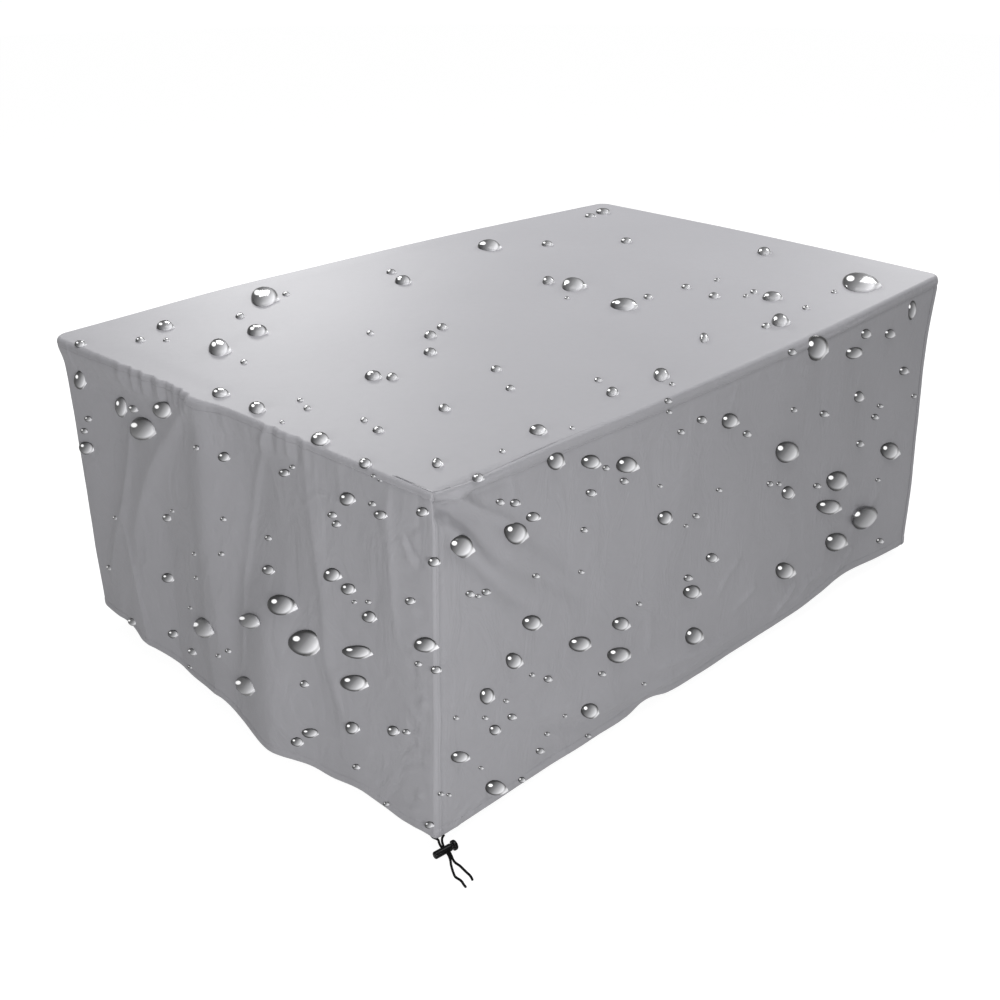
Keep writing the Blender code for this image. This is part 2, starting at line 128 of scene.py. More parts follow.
# ------------------------------------------------------------------ the draped surface, as sizes
@dataclass(frozen=True)
class Corner:
    """A sharp corner of the box before rounding, and its rounding in plan."""

    top_x: float
    top_y: float
    hem_x: float
    hem_y: float
    hem_rise: float
    top_round: float
    hem_round: float

    def most_round(self) -> float:
        """The larger of its two roundings."""
        return max(self.top_round, self.hem_round)

    def radius(self, share: np.ndarray) -> np.ndarray:
        """Its rounding at shares of the depth."""
        return self.top_round + (self.hem_round - self.top_round) * share

    def place(self, share: np.ndarray) -> np.ndarray:
        """Where it stands in plan at shares of the depth, one row each."""
        top, hem = np.array((self.top_x, self.top_y)), np.array((self.hem_x, self.hem_y))
        return top + (hem - top) * share[:, None]


@dataclass(frozen=True)
class Wall:
    """A side's length, its lip below the shoulder, its bow at top and hem, and its lip's relief."""

    span: float
    lip: float
    top_bow: float
    hem_bow: float
    step: float


@dataclass(frozen=True)
class Swell:
    """A soft bump along an edge: how far out, how much rounder and how much higher the hem."""

    side: Side
    along: float
    width: float
    edge_out: float
    rounder: float
    hem_rise: float


class Relief:
    """Something that lifts the cloth of a side, or lets it fall in."""

    def near(self, along: np.ndarray) -> bool:
        """Whether it reaches a place along its side."""
        return True


@dataclass(frozen=True)
class Hollow(Relief):
    """Where the wall falls in below the rim: how deep, and over which drop it gets there.

    start is the drop where it begins, and ebb says where it eases off, over what drop and how much.
    """

    side: Side
    along: float
    width: float
    depth: float
    reach: float
    start: float = 0.014
    ebb: tuple = (0.20, 0.40, 0.8)

    def lift(self, along: np.ndarray, drop: np.ndarray) -> np.ndarray:
        """Outward travel of the cloth, which is inward here."""
        begin, over, share = self.ebb
        fall = ease((drop - self.start) / self.reach) * (1.0 - share * ease((drop - begin) / over))
        return -self.depth * bump(along - self.along, self.width) * fall


@dataclass(frozen=True)
class Fold(Relief):
    """A soft ridge, or a trough where the height is negative, along a bowed line down a side.

    before and after are the widths of its flanks, and tail is the share of the height at its low end.
    """

    side: Side
    along: float
    drop: float
    low_along: float
    low_drop: float
    bow: float
    before: float
    after: float
    height: float
    tail: float

    def lift(self, along: np.ndarray, drop: np.ndarray) -> np.ndarray:
        """How far the fold lifts the cloth.

        Args:
            along: Distance along the side.
            drop: Depth below the top.

        Returns:
            Outward travel.
        """
        run, fall = self.low_along - self.along, self.low_drop - self.drop
        length = math.hypot(run, fall)
        across, down = along - self.along, drop - self.drop
        share = (across * run + down * fall) / (length * length)
        inside = np.clip(share, 0.0, 1.0)
        side = (across * fall - down * run) / length + self.bow * 4.0 * inside * (1.0 - inside)
        width = np.where(side < 0.0, self.before, self.after)
        fade = 1.0 - (1.0 - self.tail) * ease((share - FOLD_FADE[0]) / FOLD_FADE[1])
        return self.height * crest(side, width) * ease(share / FOLD_RISE) * fade


@dataclass(frozen=True)
class Crease(Relief):
    """A narrow ridge, or a groove where the height is negative, along a line on a side.

    before and after are the widths of its flanks, before being the one on the line's left as seen from
    outside when the line runs down.  start tells how full it is at the line's first point.
    """

    side: Side
    line: tuple
    before: float
    after: float
    height: float
    start: float = 0.15

    def near(self, along: np.ndarray) -> bool:
        """Whether the crease reaches a place along its side."""
        knots = [knot[0] for knot in self.line]
        reach = 4.0 * max(self.before, self.after)
        inside = (np.asarray(along) > min(knots) - reach) & (np.asarray(along) < max(knots) + reach)
        return bool(np.any(inside))

    def lift(self, along: np.ndarray, drop: np.ndarray) -> np.ndarray:
        """How far the crease lifts the cloth.

        Args:
            along: Distance along the side.
            drop: Depth below the top.

        Returns:
            Outward travel.
        """
        along, drop = np.broadcast_arrays(np.asarray(along, float), np.asarray(drop, float))
        knots = np.array(self.line)
        steps = np.diff(knots, axis=0)
        lengths = np.hypot(steps[:, 0], steps[:, 1])
        walked = np.concatenate(([0.0], np.cumsum(lengths)))
        nearest = np.full(along.shape, np.inf)
        signed, share = np.zeros(along.shape), np.zeros(along.shape)
        for knot, step, length, done in zip(knots, steps, lengths, walked):
            across, down = along - knot[0], drop - knot[1]
            part = np.clip((across * step[0] + down * step[1]) / length ** 2, 0.0, 1.0)
            away = np.hypot(across - part * step[0], down - part * step[1])
            side = np.where(across * step[1] - down * step[0] < 0.0, -away, away)
            closer = away < nearest
            nearest = np.where(closer, away, nearest)
            signed = np.where(closer, side, signed)
            share = np.where(closer, (done + part * length) / walked[-1], share)
        width = np.where(signed < 0.0, self.before, self.after)
        fade = 1.0 - ease((share - CREASE_FADE[0]) / CREASE_FADE[1])
        return self.height * crest(signed, width) * ease(share / CREASE_RISE + self.start) * fade


@dataclass(frozen=True)
class Pucker(Relief):
    """A short slanted dent beside a seam."""

    side: Side
    along: float
    drop: float
    run: float
    fall: float
    width: float
    height: float

    def lift(self, along: np.ndarray, drop: np.ndarray) -> np.ndarray:
        """Outward travel of the cloth near the pucker."""
        length = math.hypot(self.run, self.fall)
        across, down = along - self.along, drop - self.drop
        share = (across * self.run + down * self.fall) / (length * length)
        side = (across * self.fall - down * self.run) / length
        return self.height * bump(side, self.width) * bump(share - 0.5, 0.42)


CORNERS = {
    Side.FRONT: Corner(-0.901, -0.618, -0.904, -0.606, 0.022, 0.0090, 0.0100),
    Side.RIGHT: Corner(0.909, -0.578, 0.834, -0.632, 0.018, 0.024, 0.030),
    Side.BACK: Corner(0.912, 0.568, 0.880, 0.600, 0.026, 0.030, 0.034),
    Side.LEFT: Corner(-0.941, 0.597, -0.911, 0.620, 0.045, 0.034, 0.034),
}

WALLS = {
    Side.FRONT: Wall(LENGTH, 0.0170, 0.017, -0.004, 1.0),
    Side.RIGHT: Wall(WIDTH, 0.0050, 0.014, 0.020, 0.1),
    Side.BACK: Wall(LENGTH, 0.0180, 0.045, 0.030, 1.0),
    Side.LEFT: Wall(WIDTH, 0.0050, 0.000, 0.024, 0.1),
}

# Where the two stitched grooves lie on each corner's arc, as shares of its turn.
CORNER_GROOVES = {
    Side.FRONT: (0.04, 0.86),
    Side.RIGHT: (0.38, 0.90),
    Side.BACK: (0.10, 0.62),
    Side.LEFT: (0.38, 0.90),
}


def metres(value: object) -> object:
    """Millimetres as metres, in a number or in nested rows."""
    return tuple(metres(part) for part in value) if isinstance(value, tuple) else value / 1000.0


def by_side(make: Callable, table: dict) -> tuple:
    """Rows of a table in millimetres that is grouped by side, each made into one piece of data."""
    return tuple(make(side, *row) for side, rows in table.items() for row in rows)


def crease(side: Side, before: float, after: float, height: float, start: float,
           *line: tuple) -> Crease:
    """Crease from a row: the widths of its flanks, its height, its start's share and its line."""
    return Crease(side, metres(line), *metres((before, after, height)), start)


# Along, width, edge out, rounder, hem rise.
SWELLS = by_side(lambda side, *row: Swell(side, *metres(row)), {
    Side.FRONT: (
        (360, 150, -4, 0, -4), (660, 50, 0, 0, 10), (1220, 300, 6, 12, 0), (1430, 230, 0, 0, 22),
        (1800, 240, 0, 4, 5),
    ),
    Side.RIGHT: (
        (0, 120, 0, 4, 5), (700, 160, 4, 4, 6),
    ),
    Side.BACK: (
        (600, 250, 4, 4, -6), (1340, 220, 9, 0, 8),
    ),
    Side.LEFT: (
        (100, 120, 4, 6, 0), (140, 60, 0, 0, 14), (400, 70, 0, 0, -9), (560, 50, 13, 8, 14),
        (760, 100, 0, 0, -6), (910, 40, 0, 0, -7), (1000, 40, 0, 0, 8), (1110, 35, 0, 0, -6),
    ),
})

# Along, width, depth, reach.
HOLLOWS = by_side(lambda side, *row: Hollow(side, *metres(row)), {
    Side.LEFT: (
        (100, 220, 8, 55), (300, 170, 13, 80), (170, 90, 10, 90), (660, 160, 14, 60),
        (1050, 160, 3, 70),
    ),
    Side.FRONT: (
        (1350, 550, 9, 140), (450, 350, 5, 90),
    ),
    Side.RIGHT: (
        (550, 450, 7, 90),
    ),
    Side.BACK: (
        (900, 600, 7, 100),
    ),
})

# The main folds, as in the solids: along and drop at both ends, bow, widths of the flanks, height, and
# the share at the low end.
FOLDS = by_side(lambda side, *row: Fold(side, *metres(row[:-1]), row[-1]), {
    Side.LEFT: (
        (500, 20, 235, 720, 105, 60, 70, 9, 1.4), (230, 120, 110, 720, -5, 45, 50, 6, 1.4),
        (370, 200, 370, 720, 10, 60, 60, -10, 0.8), (510, 20, 545, 720, 0, 45, 115, 13, 1.0),
        (740, 20, 620, 660, 15, 60, 50, -9, 0.4), (860, 10, 955, 500, 10, 65, 90, 6, 1.0),
        (955, 460, 1190, 680, 30, 60, 70, 3, 0.4), (1080, 0, 1130, 420, 0, 55, 50, 4, 0.3),
        (770, 300, 760, 730, 0, 120, 100, 40, 1.0),
    ),
    Side.FRONT: (
        (20, 40, 450, 410, -45, 45, 40, -13, 0.2), (100, 100, 430, 380, -20, 30, 30, 6, 0.2),
        (730, 30, 655, 660, 10, 90, 120, 3, 0.6), (250, 600, 1000, 680, 0, 50, 50, 8, 0.5),
        (200, 700, 620, 730, 0, 30, 30, -8, 0.3), (900, 520, 1360, 720, 20, 45, 50, 9, 0.6),
        (1150, 50, 1280, 550, 0, 120, 120, -8, 0.5), (1520, 100, 1500, 730, 0, 120, 100, -10, 1.0),
    ),
    Side.RIGHT: (
        (220, 30, 180, 730, 10, 70, 80, 15, 1.0), (500, 30, 430, 720, 20, 80, 80, -13, 0.8),
        (680, 20, 720, 730, -10, 80, 90, 18, 1.0), (970, 30, 930, 720, 0, 80, 80, 14, 0.9),
    ),
    Side.BACK: (
        (300, 30, 240, 730, 10, 90, 100, 14, 1.0), (620, 30, 660, 720, 0, 100, 100, -12, 0.8),
        (980, 30, 1020, 730, -20, 100, 110, 18, 1.0), (1360, 30, 1300, 720, 10, 100, 100, -10, 0.7),
        (1600, 50, 1560, 730, 0, 80, 90, 12, 0.9),
    ),
})

# Narrower ridges and grooves, each along a line of (along, drop) points.
CREASES = by_side(crease, {
    Side.LEFT: (
        # Long ridges down the left end.
        (18, 20, 6.6, 0.5, (534, 7), (462, 74), (400, 145), (346, 216), (297, 291), (262, 356),
         (242, 416), (234, 500)),
        (14, 14, 5.4, 0.3, (250, 160), (228, 258), (204, 325), (188, 383), (188, 470)),
        (9, 8, 4, 0.4, (194, 430), (212, 487), (229, 536), (240, 600), (252, 682), (262, 750)),
        (13, 16, 4.2, 0.15, (200, 350), (189, 371), (150, 448), (121, 524), (95, 602), (93, 654)),
        (40, 50, 9.6, 0.4, (550, 6), (551, 68), (548, 122), (547, 176), (549, 242), (550, 311),
         (556, 366), (566, 427), (574, 490), (580, 546), (584, 600), (592, 700)),
        (12, 8, 3.8, 0.15, (750, 8), (740, 52), (708, 122), (690, 181), (677, 232), (669, 274),
         (659, 331), (660, 383), (668, 420), (671, 458), (664, 536), (647, 622)),
        (16, 22, 5, 0.15, (859, 10), (869, 54), (880, 98), (889, 163), (896, 227), (905, 279),
         (914, 332), (919, 376), (924, 442), (936, 491), (962, 543), (991, 584), (1021, 626),
         (1064, 665)),
        (24, 10, 4, 0.15, (1084, 20), (1089, 94), (1094, 143), (1096, 195), (1100, 247),
         (1106, 299), (1114, 360)),
        (4, 4, -3.6, 0.4, (1130, 100), (1148, 126), (1166, 142), (1186, 150)),
        (6, 6, 2.6, 0.4, (1122, 108), (1140, 140), (1158, 162)),
        (20, 20, 1.8, 0.15, (790, 260), (810, 400), (800, 560)),
        # The thread-like wrinkle beside a bead high on the left end.
        (2.8, 3, 3.4, 0.15, (884, 112), (903, 92), (921, 88), (942, 96), (962, 90)),
        (2.6, 2.6, 2.2, 0.15, (839, 103), (859, 111), (881, 104)),
        (2.6, 2.6, 2.2, 0.15, (888, 106), (868, 122), (850, 141)),
    ),
    Side.FRONT: (
        # Folds that run from the front top corner over the front.
        (14, 19, -14, 1.0, (2, 20), (20, 30), (47, 51), (76, 77), (105, 108), (125, 139),
         (150, 172), (190, 210)),
        (16, 16, -4.6, 0.15, (130, 150), (172, 195), (228, 235), (284, 275), (349, 323), (412, 371),
         (480, 415)),
        (14, 18, -7, 1.0, (-10, 36), (20, 44), (45, 60)),
        (8, 10, -3.4, 0.5, (85, 30), (140, 34), (210, 37)),
        (18, 15, -9.2, 0.15, (30, 85), (50, 117), (89, 156), (122, 195), (157, 237), (195, 279),
         (234, 307), (299, 340)),
        (14, 7, 7.4, 0.8, (50, 22), (73, 36), (103, 58), (135, 80), (160, 96), (191, 119),
         (240, 160)),
        (8, 9, 3, 0.15, (30, 62), (66, 102), (100, 145), (140, 190), (190, 240)),
        # Upright creases below the front's seam.
        (6, 8, 2.2, 0.15, (865, 28), (856, 77), (850, 110)),
        (20, 26, 1.6, 0.15, (728, 30), (706, 103), (692, 244), (688, 480)),
        (12, 14, 3.6, 0.15, (620, 480), (640, 540), (645, 600)),
        (16, 20, 1.8, 0.15, (1180, 40), (1165, 130), (1190, 240)),
        # Flares and folds near the front's hem.
        (12, 12, 5.2, 0.15, (620, 694), (743, 692), (856, 684), (959, 686), (1060, 690)),
        (12, 12, 4.6, 0.15, (660, 640), (771, 659), (877, 672), (984, 676)),
        (16, 20, -8, 0.15, (720, 728), (622, 720), (554, 702), (488, 690), (425, 670), (347, 637),
         (236, 583)),
        (10, 10, 3, 0.15, (660, 690), (560, 674), (470, 654), (380, 622)),
        (8, 8, 4.6, 0.15, (968, 478), (930, 497), (897, 530), (882, 565)),
        (8, 8, 4.6, 0.15, (1040, 570), (1020, 581), (987, 603), (943, 622)),
        (9, 12, 6.6, 0.15, (1370, 645), (1343, 655), (1278, 664), (1224, 678), (1210, 700)),
        (9, 10, 5.6, 0.15, (1230, 640), (1186, 660), (1140, 684), (1116, 706)),
        (10, 12, 5.6, 0.15, (1520, 645), (1488, 662), (1439, 680), (1406, 706)),
        (14, 16, 5, 0.15, (1480, 600), (1560, 570), (1640, 500)),
        (30, 45, 5, 0.6, (24, 470), (172, 540), (348, 610), (511, 670), (641, 710)),
        (6, 7, 1.6, 0.5, (50, 728), (66, 706), (101, 690)),
        (6, 7, 1.6, 0.3, (92, 722), (112, 706), (140, 694)),
        (30, 55, 5, 0.6, (560, 740), (900, 738), (1300, 722), (1720, 700)),
    ),
    # The two sides that the picture does not show.
    Side.RIGHT: (
        (12, 20, 4, 0.15, (230, 30), (215, 250), (190, 480), (185, 690)),
        (12, 24, 4.4, 0.15, (690, 30), (700, 240), (725, 460), (720, 680)),
        (12, 20, 3.6, 0.15, (960, 30), (950, 280), (915, 520), (930, 690)),
        (10, 12, 2.4, 0.15, (430, 30), (470, 200), (440, 420)),
    ),
    Side.BACK: (
        (14, 24, 4, 0.15, (310, 30), (290, 260), (250, 480), (245, 690)),
        (14, 26, 4.6, 0.15, (990, 30), (1010, 300), (1030, 520), (1020, 690)),
        (12, 20, 3.4, 0.15, (1610, 40), (1590, 300), (1565, 690)),
        (12, 14, 2.4, 0.15, (640, 30), (700, 180), (680, 340)),
    ),
})

# Gathers below the left rim, in millimetres: place along it, reach down, lean and height.
TUCKS = (
    (272, 62, -10, 2), (300, 56, -8, -1.8), (318, 66, -8, 2.2), (337, 60, -6, -1.8),
    (358, 62, -8, 2.4), (382, 58, -8, -3), (410, 58, -6, 2.2), (432, 60, -6, -2.4),
    (452, 48, -4, -1.4), (469, 50, -4, 2), (485, 46, -4, -2), (499, 46, -8, 2),
    (516, 44, -10, -1.8), (531, 50, -20, 2.2), (760, 66, -30, 2.6), (776, 60, -8, -2.2),
    (797, 60, -10, 1.2), (820, 58, 2, 1.8), (844, 56, 4, -1.8), (868, 60, 6, 2),
)


def gathers(side: Side, start: float, end: float, count: int, seed: int, height: float) -> tuple:
    """Short gathers that hang from the top edge, unevenly spaced.

    Args:
        side: The side that they are on.
        start: Where they begin along it.
        end: Where they stop.
        count: How many there are.
        seed: Seed of their spacing and size.
        height: The mean height of one.

    Returns:
        One crease for each gather.
    """
    dice = np.random.default_rng(seed)
    made = []
    for number in range(count):
        along = start + (end - start) * (number + dice.uniform(0.1, 0.9)) / count
        drop, low = dice.uniform(0.004, 0.012), dice.uniform(0.035, 0.105)
        lean, width = dice.uniform(-0.16, 0.10) * low, dice.uniform(0.0040, 0.0075)
        size = height * dice.uniform(0.5, 1.4) * (1.0 if dice.uniform() < 0.62 else -0.8)
        line = (along, drop), (along + 0.4 * lean, 0.5 * low), (along + lean, low)
        made.append(Crease(side, line, width, width * 1.2, size, 0.5))
    return tuple(made)


def draws(side: Side, edge: float, start: float, end: float, count: int, seed: int,
          height: float) -> tuple:
    """Uneven puckers beside a corner seam.

    Args:
        side: The side that they are on.
        edge: Where along it the seam lies.
        start: Drop of the first one.
        end: Drop of the last one.
        count: How many there are.
        seed: Seed of their size and slant.
        height: The mean height of one.

    Returns:
        One pucker for each.
    """
    dice = np.random.default_rng(seed)
    toward = 1.0 if edge < 0.5 * WALLS[side].span else -1.0
    made = []
    for number in range(count):
        drop = start + (end - start) * (number + dice.uniform(0.1, 0.9)) / count
        run, fall = dice.uniform(0.018, 0.050), dice.uniform(-0.012, 0.030)
        size = height * dice.uniform(0.4, 1.5) * (1.0 if number % 2 else -1.0)
        made.append(Pucker(side, edge + toward * dice.uniform(0.0, 0.030), drop, toward * run, fall,
                           dice.uniform(0.0040, 0.0085), size))
    return tuple(made)


def tuck(along: float, reach: float, lean: float, height: float) -> Crease:
    """One gather below the left rim from a row: its place, how far down, its lean and its height."""
    line = (along, 0.0), (along + 0.5 * lean, 0.5 * reach), (along + lean, reach)
    return crease(Side.LEFT, 6.0, 6.6, 1.8 * height, 0.85, *line)


GATHERS = (
    *(tuck(*row) for row in TUCKS),
    *gathers(Side.LEFT, 0.05, 0.27, 9, 5, 0.0022),
    *gathers(Side.LEFT, 0.57, 0.74, 6, 15, 0.0016),
    *gathers(Side.LEFT, 0.88, 1.17, 9, 7, 0.0012),
    *gathers(Side.FRONT, 0.03, 0.25, 9, 8, 0.0007),
    *gathers(Side.FRONT, 0.25, 1.70, 20, 9, 0.0008),
    *gathers(Side.RIGHT, 0.06, 1.12, 26, 10, 0.0018),
    *gathers(Side.BACK, 0.08, 1.72, 26, 11, 0.0012),
)

PUCKERS = (
    *draws(Side.LEFT, 1.184, 0.050, 0.360, 13, 31, 0.0018),
    *draws(Side.LEFT, 1.184, 0.360, 0.720, 18, 32, 0.0032),
    *draws(Side.FRONT, 0.026, 0.200, 0.700, 12, 33, 0.0007),
    *draws(Side.FRONT, 0.012, 0.006, 0.050, 6, 34, 0.0026),
    *draws(Side.RIGHT, 0.030, 0.060, 0.700, 14, 35, 0.0010),
    *draws(Side.BACK, 1.760, 0.060, 0.700, 14, 36, 0.0010),
)

RELIEF = {side: [row for row in (*FOLDS, *CREASES, *GATHERS, *PUCKERS, *HOLLOWS) if row.side == side]
          for side in Side}


@dataclass(frozen=True)
class Station:
    """A place around the cover: on a side, or on the arc of the corner where the side starts."""

    side: Side
    along: float
    turn: Optional[float] = None


@dataclass(frozen=True)
class Ripple:
    """Smooth unevenness of the cloth: a few seeded waves in all directions."""

    seed: int
    wave: float
    height: float
    count: int = 9

    def at(self, points: np.ndarray) -> np.ndarray:
        """Height of the ripple.

        Args:
            points: Places in the frame, one row each.

        Returns:
            One height for each place.
        """
        dice = np.random.default_rng(self.seed)
        ways = unit(dice.normal(size=(self.count, 3)))
        rates = 2.0 * np.pi / (self.wave * dice.uniform(0.6, 1.6, self.count))
        starts = dice.uniform(0.0, 2.0 * np.pi, self.count)
        total = np.sin(points @ (ways * rates[:, None]).T + starts).sum(axis=1)
        return total * self.height / math.sqrt(self.count)


def outward(ways: np.ndarray) -> np.ndarray:
    """Directions in plan turned a quarter to the cover's outside."""
    return np.column_stack((ways[:, 1], -ways[:, 0]))


@dataclass(frozen=True)
class Drape:
    """The cover's outer face as one continuous surface."""

    broad: Ripple = Ripple(seed=11, wave=0.30, height=0.0016)
    small: Ripple = Ripple(seed=12, wave=0.085, height=0.00035)
    edge_rows: float = 0.05
    edge_fade: float = 0.25
    rounding: float = 0.62
    least_lip: float = 0.004
    open_ends: tuple = (0.10, 0.08)

    def swell(self, side: Side, along: np.ndarray, name: str) -> np.ndarray:
        """Sum of one edge property of the swells on a side."""
        rows = [row for row in SWELLS if row.side == side]
        return sum((getattr(row, name) * bump(along - row.along, row.width) for row in rows), 0.0)

    def offset(self, side: Side, along: np.ndarray, drop: np.ndarray, depth: float) -> np.ndarray:
        """Outward travel of a side's cloth from the straight line between its corners.

        Args:
            side: The side.
            along: Distance along it.
            drop: Depths below the top.
            depth: Depth of the hem's edge there.

        Returns:
            One travel for each drop.
        """
        data, share = WALLS[side], drop / depth
        arch = np.sin(np.pi * np.clip(along / data.span, 0.0, 1.0))
        bow = arch * (data.top_bow * (1.0 - share) + data.hem_bow * share)
        edge = self.swell(side, along, "edge_out") * (1.0 - ease(drop / self.edge_fade))
        return bow + edge + sum(row.lift(along, drop) for row in RELIEF[side] if row.near(along))

    def blend(self, spot: Station, share: np.ndarray, value: Callable) -> np.ndarray:
        """A side's property at a station; on an arc it passes from one side's value to the next.

        Args:
            spot: The station.
            share: Share of the depth.
            value: Gives the property from a side and a distance along it.

        Returns:
            The property.
        """
        if spot.turn is None:
            return value(spot.side, spot.along)
        radius = CORNERS[spot.side].radius(share)
        quarter = 0.5 * math.pi * radius
        here = radius - (1.0 - spot.turn) * quarter
        there = WALLS[spot.side.before()].span - radius + spot.turn * quarter
        mix = ease(spot.turn)
        return value(spot.side, here) * mix + value(spot.side.before(), there) * (1.0 - mix)

    def hem_depth(self, spot: Station) -> float:
        """Depth of the hem's lower edge below the top at a station."""
        start = CORNERS[spot.side].hem_rise
        if spot.turn is None:
            end = CORNERS[spot.side.after()].hem_rise
            start += (end - start) * spot.along / WALLS[spot.side].span
        rise = self.blend(spot, 1.0, lambda side, along: self.swell(side, along, "hem_rise"))
        return TOP_Z - (FLOOR_Z + start + float(rise))

    def shoulder(self, spot: Station) -> float:
        """Radius of the rolled edge between the top and the wall."""
        extra = self.blend(spot, 0.0, lambda side, along: self.swell(side, along, "rounder"))
        return SHOULDER + self.rounding * float(extra)

    def lip_depth(self, spot: Station) -> float:
        """Depth of the lip's lower edge."""
        lip = self.blend(spot, 0.0, lambda side, along: WALLS[side].lip)
        return max(SHOULDER + float(lip), self.shoulder(spot) + self.least_lip)

    def lip_step(self, spot: Station) -> float:
        """How plainly the lip stands out: fully over the long walls, hardly over the ends."""
        half = 0.5 * WIDTH

        def value(side: Side, along: float) -> float:
            """How plainly it stands out at a place along one side."""
            data, (reach, over) = WALLS[side], self.open_ends
            nearest = min(along, data.span - along)
            if (side is Side.LEFT and along < half) or (side is Side.RIGHT and along > half):
                nearest = 1.0
            return data.step + (1.0 - data.step) * (1.0 - float(ease((nearest - reach) / over)))

        return float(self.blend(spot, 0.0, value))

    def plan(self, spot: Station, share: np.ndarray) -> tuple:
        """Plan points and outward normals of the unfolded box.

        Args:
            spot: The station.
            share: Shares of the depth.

        Returns:
            The points and the normals, one row for each share.
        """
        corner = CORNERS[spot.side]
        here, goal = corner.place(share), CORNERS[spot.side.after()].place(share)
        ahead = unit(goal - here)
        if spot.turn is None:
            return here + (goal - here) * (spot.along / WALLS[spot.side].span), outward(ahead)
        behind = unit(here - CORNERS[spot.side.before()].place(share))
        radius, normal = corner.radius(share)[:, None], outward(behind)
        angle = np.arccos(np.clip((behind * ahead).sum(axis=1, keepdims=True), -1.0, 1.0))
        centre = here - behind * radius * np.tan(0.5 * angle) - normal * radius
        turned = normal * np.cos(angle * spot.turn) - outward(normal) * np.sin(angle * spot.turn)
        return centre + turned * radius, turned

    def column(self, spot: Station, drops: np.ndarray, inset: float | np.ndarray = 0.0) -> np.ndarray:
        """Points of the outer face down one station.

        Args:
            spot: The station.
            drops: Depths below the top.
            inset: How far each point is moved inward in plan.

        Returns:
            One point for each drop.
        """
        depth = self.hem_depth(spot)
        share = drops / depth
        plan, normal = self.plan(spot, share)
        out = self.blend(spot, share, lambda side, along: self.offset(side, along, drops, depth))
        place = np.column_stack((plan, TOP_Z - drops))
        out = out + ease(drops / self.edge_rows) * (self.broad.at(place) + self.small.at(place))
        place[:, :2] += normal * np.reshape(out - inset, (-1, 1))
        return place


# ------------------------------------------------------------------ finishes
@dataclass(frozen=True)
class Graph:
    """A shader node tree, and short ways to put the finishes' nodes into it."""

    tree: bpy.types.NodeTree

    def feed(self, node: bpy.types.Node, inputs: dict) -> bpy.types.Node:
        """Set a node's inputs.

        Args:
            node: The node.
            inputs: Input name or number to the socket that feeds it or to its value.

        Returns:
            The node.
        """
        for key, source in inputs.items():
            if isinstance(source, bpy.types.NodeSocket):
                self.tree.links.new(source, node.inputs[key])
            else:
                node.inputs[key].default_value = source
        return node

    def node(self, kind: str, inputs: dict = None, **values: object) -> bpy.types.Node:
        """New node.

        Args:
            kind: Its type, without the start that all types share.
            inputs: What its inputs get.
            values: Properties of the node itself.

        Returns:
            The node.
        """
        node = self.tree.nodes.new("ShaderNode" + kind)
        for key, value in values.items():
            setattr(node, key, value)
        return self.feed(node, inputs or {})

    def maths(self, operation: str, *terms: object) -> bpy.types.NodeSocket:
        """Result of a Math node on sockets or values."""
        return self.node("Math", dict(enumerate(terms)), operation=operation).outputs[0]

    def ranged(self, value: object, start: float, end: float, low: object = 0.0,
               high: object = 1.0) -> bpy.types.NodeSocket:
        """A value's way from start to end, as one from low to high."""
        return self.node("MapRange", {0: value, 1: start, 2: end, 3: low, 4: high}).outputs[0]

    def place(self) -> bpy.types.NodeSocket:
        """Place on the object."""
        return self.node("TexCoord").outputs["Object"]

    def noise(self, place: bpy.types.NodeSocket, scale: object, detail: float,
              **more: float) -> bpy.types.NodeSocket:
        """Noise at a place."""
        inputs = {"Vector": place, "Scale": scale, "Detail": detail, **more}
        return self.node("TexNoise", inputs).outputs[0]

    def scaled(self, colour: object, factor: object) -> bpy.types.NodeSocket:
        """A colour times a factor."""
        return self.node("VectorMath", {0: colour, 3: factor}, operation="SCALE").outputs[0]

    def mix(self, share: object, first: object, second: object) -> bpy.types.NodeSocket:
        """A colour between two."""
        return self.node("Mix", {0: share, 6: first, 7: second}, data_type="RGBA").outputs[2]

    def relief(self, height: object, depth: float, **more: object) -> bpy.types.NodeSocket:
        """Normal of a bump."""
        inputs = {"Height": height, "Distance": depth, "Strength": 1.0, **more}
        return self.node("Bump", inputs).outputs[0]

    def shared(self, group: bpy.types.NodeTree, **inputs: object) -> Sequence:
        """Outputs of a shared group placed with its own values."""
        return self.node("Group", inputs, node_tree=group).outputs


def new_material(name: str) -> tuple:
    """Empty Principled material.

    Args:
        name: The material's name.

    Returns:
        The material, its graph and its Principled node.
    """
    material = bpy.data.materials.new(name)
    material.use_nodes = True
    return material, Graph(material.node_tree), material.node_tree.nodes["Principled BSDF"]


def new_group(name: str, inputs: dict, outputs: Sequence[str]) -> tuple:
    """Shader node group whose sockets are all plain values.

    Args:
        name: The group's name.
        inputs: Input name to its start value.
        outputs: Names of the outputs.

    Returns:
        The group's graph, its input sockets and its output node.
    """
    tree = bpy.data.node_groups.new(name, "ShaderNodeTree")
    for label, start in inputs.items():
        socket = tree.interface.new_socket(name=label, in_out="INPUT", socket_type="NodeSocketFloat")
        socket.default_value = start
    for label in outputs:
        tree.interface.new_socket(name=label, in_out="OUTPUT", socket_type="NodeSocketFloat")
    return Graph(tree), tree.nodes.new("NodeGroupInput").outputs, tree.nodes.new("NodeGroupOutput")


